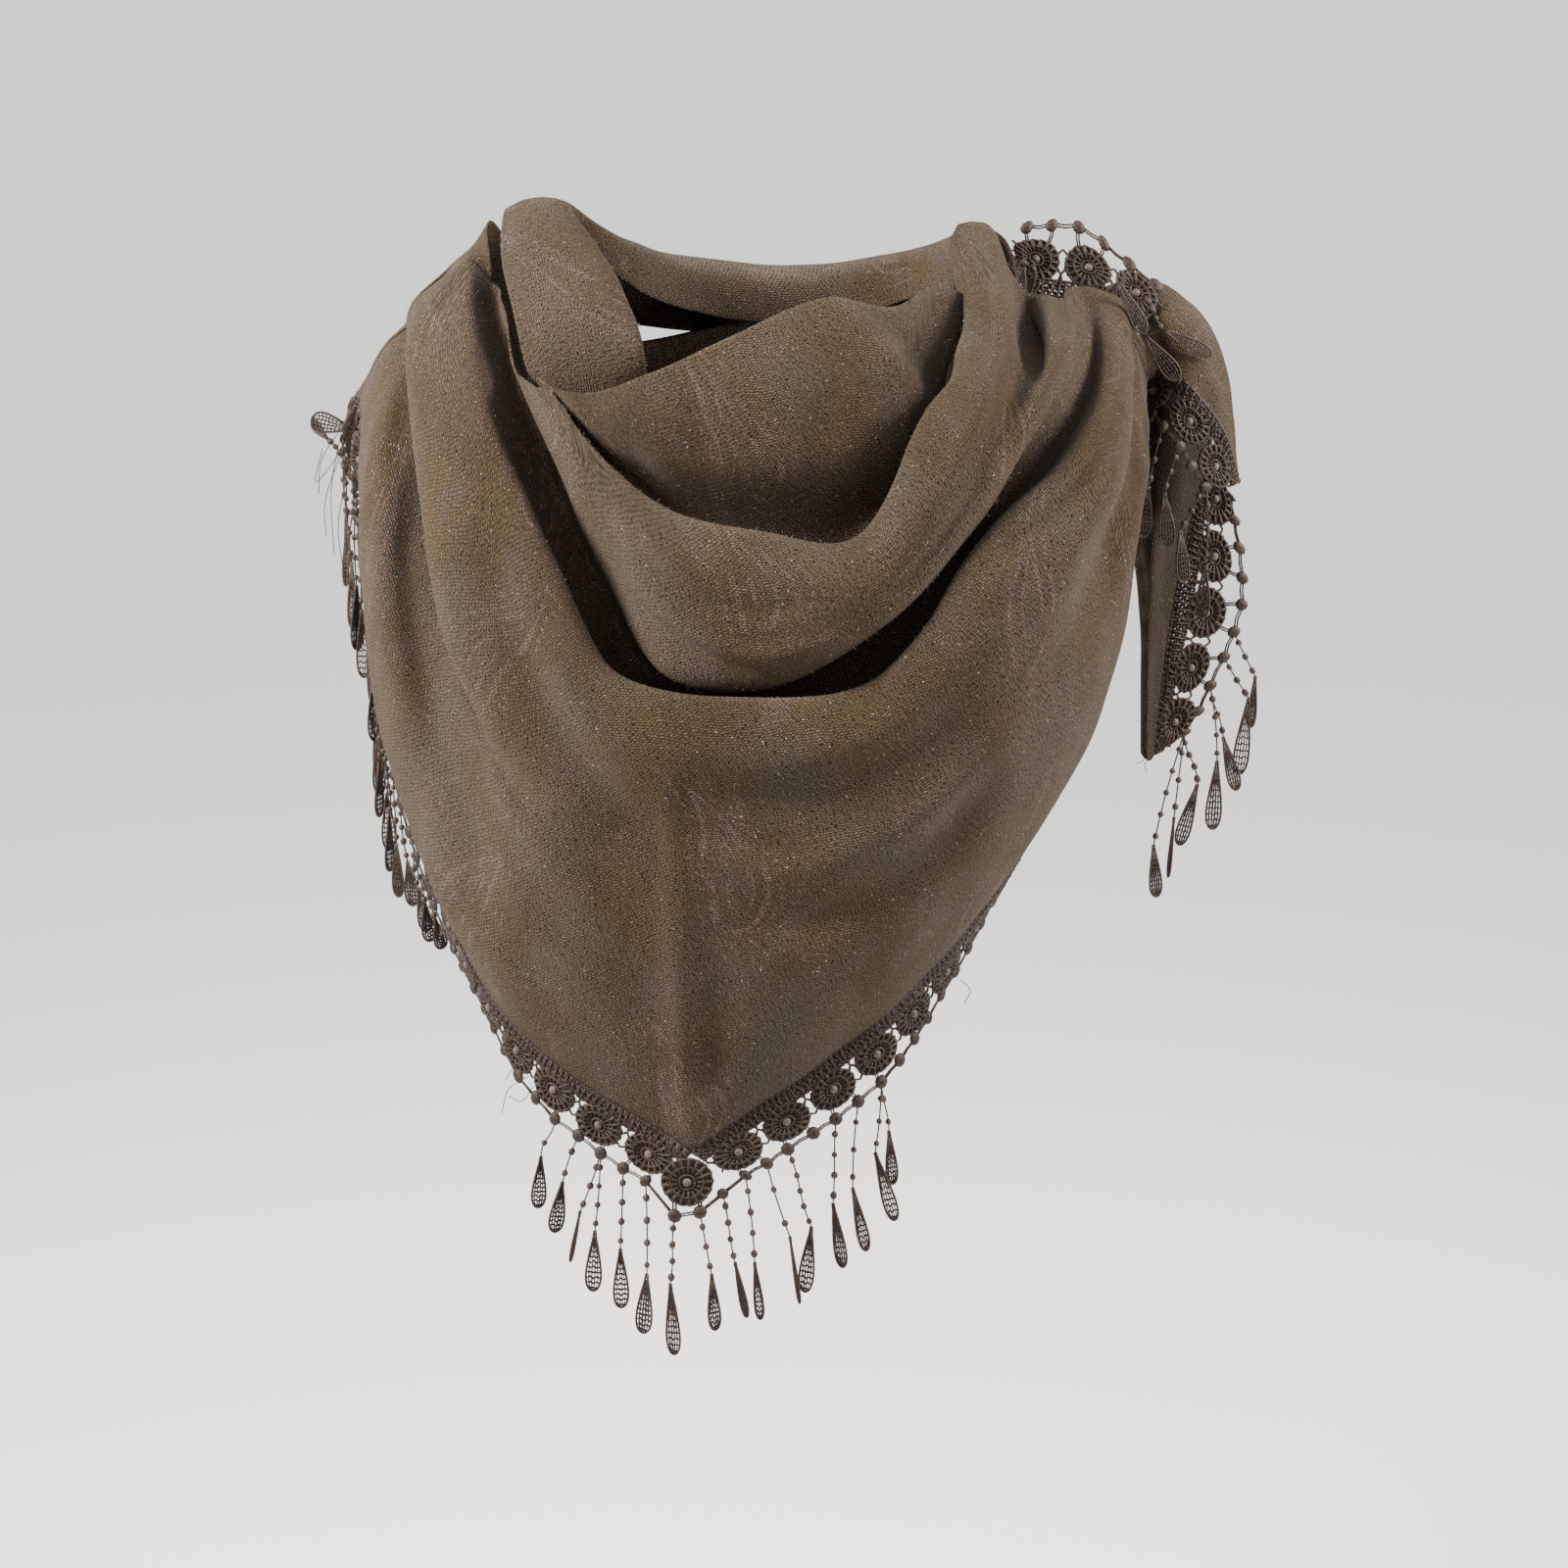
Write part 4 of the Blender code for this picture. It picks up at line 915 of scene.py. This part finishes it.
# the end under the fold (tail_end) takes the twill with painted shade
cloth = {name: belongs(shell("twill_" + name, sheets[name], painted_shade_weave if name == "tail_end" else weave), "brushed_twill", node) for name, node in (
    ("front", "cloth_front"), ("collar", "cloth_collar"), ("back", "cloth_back"), ("under", "cloth_back_under"),
    ("tail", "cloth_tail"), ("tail_end", "cloth_tail_end"))}

# ---------------------------------------------------------------- lace and fringe, stretch by stretch
guipure = corded("guipure_cord", (0.006, 0.0036, 0.0024), (0.034, 0.020, 0.013), 0.0)
knot = corded("guipure_boss", (0.032, 0.022, 0.017), (0.10, 0.076, 0.064), 0.05)
net = corded("drop_net", (0.008, 0.005, 0.0034), (0.046, 0.029, 0.021), 0.0)
dice = np.random.default_rng(21)

# what the laces face away from
MIDDLE, BEHIND = (0.0, 0.02, -0.1), (0.18, 0.6, -0.3)
front, back, under = sheets["front"], sheets["back"], sheets["under"]
a, b = FINE["front"][0], FINE["back"][0]
half = 4 * a
left_foot = smooth(seen(LACE_LEFT), [s * a // 3 for s in LACE_LEFT_STEPS])
right_foot = smooth(seen(LACE_RIGHT), [s * a // 3 for s in LACE_RIGHT_STEPS])
back_foot = hanging(back[-1], LACE_DEPTH, 0.25)
back_foot[:2 * b] = smooth(np.array([left_foot[0], back_foot[b], back_foot[2 * b]]), b)[:2 * b]
under_foot = hanging(under[-1], LACE_DEPTH, 0.1)
steps = FINE["tail"][0]
bands = {
    "front_left": Band(front[-1, :half + 1], left_foot, MIDDLE),
    "front_right": Band(front[-1, half:], right_foot, MIDDLE),
    "back": Band(back[-1], back_foot, MIDDLE, squared=False),
    "under": Band(under[-1], under_foot, MIDDLE, squared=False),
    "tail": Band(sheets["tail"][:, -1], smooth(seen(LACE_TAIL), FINE["tail"][1]), BEHIND),
    "tail_end": Band(sheets["tail_end"][-1, 2 * steps:], smooth(seen(LACE_TAIL_END), steps), BEHIND),
    "shoulder": Band(*(smooth(seen(line), 12) for line in (SHOULDER_HEAD, LACE_SHOULDER[1])), BEHIND, squared=False),
}
pips, trim = {}, {}
for number, (name, nodes) in enumerate((
        ("front_left", ("lace_front_left",)), ("front_right", ("lace_front_right",)), ("back", ("lace_back",)),
        ("under", ("lace_back_under",)), ("tail", ("lace_tail",)), ("tail_end", ("lace_tail_end",)),
        ("shoulder", ("lace_shoulder",)))):
    cords, bosses = Heap(), Heap()
    band = bands[name]
    pips[name] = np.array([band.at(s, t) for s, t in lace(cords, bosses, band, 40 + number)])
    trim.setdefault("front" if "front" in name else name, []).extend([
        belongs(cords.done("guipure_" + name, guipure), "guipure_lace", *nodes),
        belongs(bosses.done("bosses_" + name, knot), "guipure_lace")])

# on the point one flower joins the two laces
cords, bosses = Heap(), Heap()
line = smooth(seen(POINT_HEAD), 8)
band = Band(line, smooth(seen(POINT_FOOT), 8), MIDDLE, squared=False)
flower(cords, band, band.length * 0.49, 0.47, 0.0125, 0.0118, 17, bosses, 0.0022)
on_point = []
for s, t in ((0.30, 0.99), (0.68, 0.93)):
    pip(cords, band, band.length * s, t, 0.0034)
    on_point.append(band.at(band.length * s, t))
    for lean in (-0.0007, 0.0007):
        cord(cords, band, ((band.length * s + lean, 0.74, 0), (band.length * s + lean, t - 0.08, 0)), 0.0005)
chain = [pips["front_left"][-1], on_point[0], on_point[1], (on_point[1] + pips["front_right"][0]) / 2, pips["front_right"][0]]
cords.ball(chain[3], 0.0029, along=(0, 1, 0), stretch=0.55, rings=7, sides=14)
on_point.append(chain[3])
for first, last in zip(chain, chain[1:]):
    for lean in (-0.0006, 0.0006):
        cords.tube(np.array([first, (first + last) / 2, last]) + np.array([0, 0, lean]), CORD, 5)
trim["front"] += [belongs(cords.done("guipure_point", guipure), "guipure_lace"), belongs(bosses.done("bosses_point", knot), "guipure_lace")]

# below the point: every drop that shows
heap = Heap()
both = np.concatenate([pips["front_left"], on_point, pips["front_right"]])
placed_drops(heap, DROPS_FRONT, 51, both)
trim["front"].append(belongs(heap.done("drops_front", net), "guipure_lace", "fringe_front_left", "fringe_front_right"))

# down the two sides, from each pip to the reach of the plain curtain there
for name, side, reach, steps_here, first, last in (
        ("side_left", "front_left", FRINGE_SIDE_LEFT, FRINGE_SIDE_LEFT_STEPS, 0, 7),
        ("side_right", "front_right", FRINGE_SIDE_RIGHT, FRINGE_SIDE_RIGHT_STEPS, 4, 12)):
    heap = Heap()
    band = bands[side]
    line = smooth(seen(reach), [s * a // 3 for s in steps_here])
    for place in pips[side]:
        where = np.argmin(np.linalg.norm(band.foot - place, axis=1)) - first * a // 3
        if 0 <= where <= (last - first) * a // 3:
            end = line[min(where, len(line) - 1)]
            end = end + np.array([dice.uniform(-0.002, 0.002), dice.uniform(-0.003, 0.003), dice.uniform(-0.002, 0.006)])
            hang(heap, place, end, dice, turned=dice.uniform(-1.2, 1.2))
    if name == "side_left":     # the one that stands out from the shoulder
        hang(heap, seen((372, 441, 38)), seen((318, 428, 36)), dice, wide=0.0118, share=0.2, beads=1, turned=0.0)
    trim["front"].append(belongs(heap.done("drops_" + name, net), "guipure_lace", "fringe_" + name))

# on the hidden drapes they hang straight down
for name, band_name, node in (("back", "back", "fringe_back"), ("under", "under", "fringe_back_under")):
    heap = Heap()
    for place in pips[band_name]:
        end = place + np.array([dice.uniform(-0.003, 0.003), dice.uniform(-0.003, 0.003), -FRINGE_DEPTH * dice.uniform(0.86, 0.99)])
        out = np.arctan2(place[0], place[1])
        hang(heap, place, end, dice, turned=out + dice.uniform(-0.5, 0.5))
    trim[name].append(belongs(heap.done("drops_" + name, net), "guipure_lace", node))

for name, table, node, start in (("tail_end", DROPS_TAIL, "fringe_tail_end", pips["tail_end"]), ("fold", DROPS_FOLD, "fringe_tail", pips["tail"])):
    heap = Heap()
    placed_drops(heap, table, 60, start)
    trim["tail" if name == "fold" else name].append(belongs(heap.done("drops_" + name, net), "guipure_lace", node))
heap = Heap()
placed_drops(heap, DROPS_SHOULDER, 61)
trim["shoulder"].append(belongs(heap.done("drops_shoulder", net), "guipure_lace", "fringe_shoulder", "fringe_collar"))

# ---------------------------------------------------------------- loose fibres
# Threads that have worked loose at the lace, on the drawing: start, bend, end, mm behind the neck.
STRAYS = (
    ((350, 432), (338, 500), (341, 566), 34), ((346, 440), (328, 470), (325, 504), 36), ((352, 452), (331, 520), (333, 548), 33),
    ((358, 470), (345, 540), (352, 590), 31), ((349, 460), (322, 492), (329, 458), 36), ((540, 1098), (520, 1110), (512, 1136), -116),
    ((545, 1108), (530, 1124), (519, 1118), -118), ((536, 1088), (522, 1092), (516, 1102), -114),
    ((1172, 774), (1168, 781), (1170, 788), -6), ((1170, 771), (1165, 777), (1160, 779), -5),
    ((980, 1000), (990, 1010), (984, 1024), -96),
)
heap = Heap()
for *places, deep in STRAYS:
    heap.tube(smooth(np.array([seen((*place, deep)) for place in places]), 6), 0.00022, 4)
belongs(heap.done("stray_threads", guipure), "guipure_lace")

# Nap: short fibres standing off the cloth, more of them where it has rubbed.
down = corded("loose_nap", (0.075, 0.055, 0.036), (0.21, 0.17, 0.12), 0.0)
for name, count in (("front", 4200), ("collar", 900), ("back", 700), ("tail", 160), ("tail_end", 160)):
    rows, heap = sheets[name], Heap()
    face = outward(rows, (0, 0.02, -0.1) if name in ("front", "back") else (0.14, 0.05, -0.05)) if name != "collar" else -normals(rows)
    i, j = dice.integers(1, rows.shape[0] - 1, count), dice.integers(1, rows.shape[1] - 1, count)
    root = rows[i, j] + (rows[np.minimum(i + 1, len(rows) - 1), j] - rows[i, j]) * dice.uniform(0, 1, (count, 1)) + face[i, j] * THIN / 2
    lean = unit(dice.normal(size=(count, 3)))
    long = dice.uniform(0.0007, 0.0021, (count, 1))
    bend = root + face[i, j] * long * 0.40 + lean * long * 0.25
    tip = bend + unit(lean + face[i, j] * 0.2) * long * 0.6
    for fibre in np.stack([root, bend, tip], axis=1):
        heap.tube(fibre, np.array([0.00008, 0.00008, 0.00004]), 3)
    piece = belongs(heap.done("nap_" + name, down), "brushed_twill")
    trim.setdefault(name, []).append(piece)

# ---------------------------------------------------------------- what each stretch of cloth is cut from
# width along the long edge, length square to it, and flat area, in metres
CUT = {
    "front": (0.92, 0.56, 0.230, ["twill_collar"], trim["front"]),
    "collar": (0.56, 0.095, 0.038, ["twill_back"], trim["collar"]),
    "back": (0.56, 0.16, 0.061, ["twill_under"], trim["back"]),
    "under": (0.36, 0.125, 0.028, ["twill_front"], trim["under"]),
    "tail": (0.16, 0.095, 0.0056, ["twill_tail_end"], trim["shoulder"] + trim["tail"]),
    "tail_end": (0.25, 0.06, 0.0096, ["twill_back"], trim["tail_end"]),
}


# ---------------------------------------------------------------- studio
def studio():
    floor_mesh = bpy.data.meshes.new("floor")
    floor_mesh.from_pydata([(-9, -9, 0), (9, -9, 0), (9, 9, 0), (-9, 9, 0)], [], [(0, 1, 2, 3)])
    floor = bpy.data.objects.new("floor", floor_mesh)
    floor.location = (0, 0, -1.0)
    pale = bpy.data.materials.new("pale_floor")
    pale.use_nodes = True
    pale.node_tree.nodes["Principled BSDF"].inputs["Base Color"].default_value = (0.97, 0.97, 0.965, 1)
    pale.node_tree.nodes["Principled BSDF"].inputs["Roughness"].default_value = 0.9
    floor_mesh.materials.append(pale)
    bpy.context.scene.collection.objects.link(floor)

    world = bpy.data.worlds.new("studio")
    world.use_nodes = True
    world.node_tree.nodes["Background"].inputs["Color"].default_value = (1.0, 0.99, 0.97, 1)
    world.node_tree.nodes["Background"].inputs["Strength"].default_value = 1.28
    bpy.context.scene.world = world
    for name, place, aim, size, power in (("key", (-0.92, -0.40, 0.50), (0.0, -0.08, -0.12), 0.35, 62),
                                          ("side", (0.95, -0.26, 0.40), (0.05, -0.05, -0.1), 0.40, 36),
                                          ("back_light", (0.2, 0.9, 1.0), (0.0, 0.05, 0.0), 0.8, 12)):
        lamp = bpy.data.lights.new(name, "AREA")
        lamp.shape = "DISK"
        lamp.size = size
        lamp.energy = power
        lamp.color = (1.0, 0.95, 0.88)
        obj = bpy.data.objects.new(name, lamp)
        obj.location = place
        way = np.array(aim) - np.array(place)
        obj.rotation_euler = (np.arctan2(np.hypot(way[0], way[1]), -way[2]), 0, np.arctan2(way[1], way[0]) - np.pi / 2)
        bpy.context.scene.collection.objects.link(obj)

    lens = bpy.data.cameras.new("camera")
    lens.sensor_width = 36
    lens.lens = 36 * SQUARES_PER_RADIAN / SHEET
    lens.clip_end = 60
    camera = bpy.data.objects.new("camera", lens)
    camera.location = EYE
    camera.rotation_euler = (np.pi / 2 - TILT, 0, 0)
    bpy.context.scene.collection.objects.link(camera)
    bpy.context.scene.camera = camera


studio()
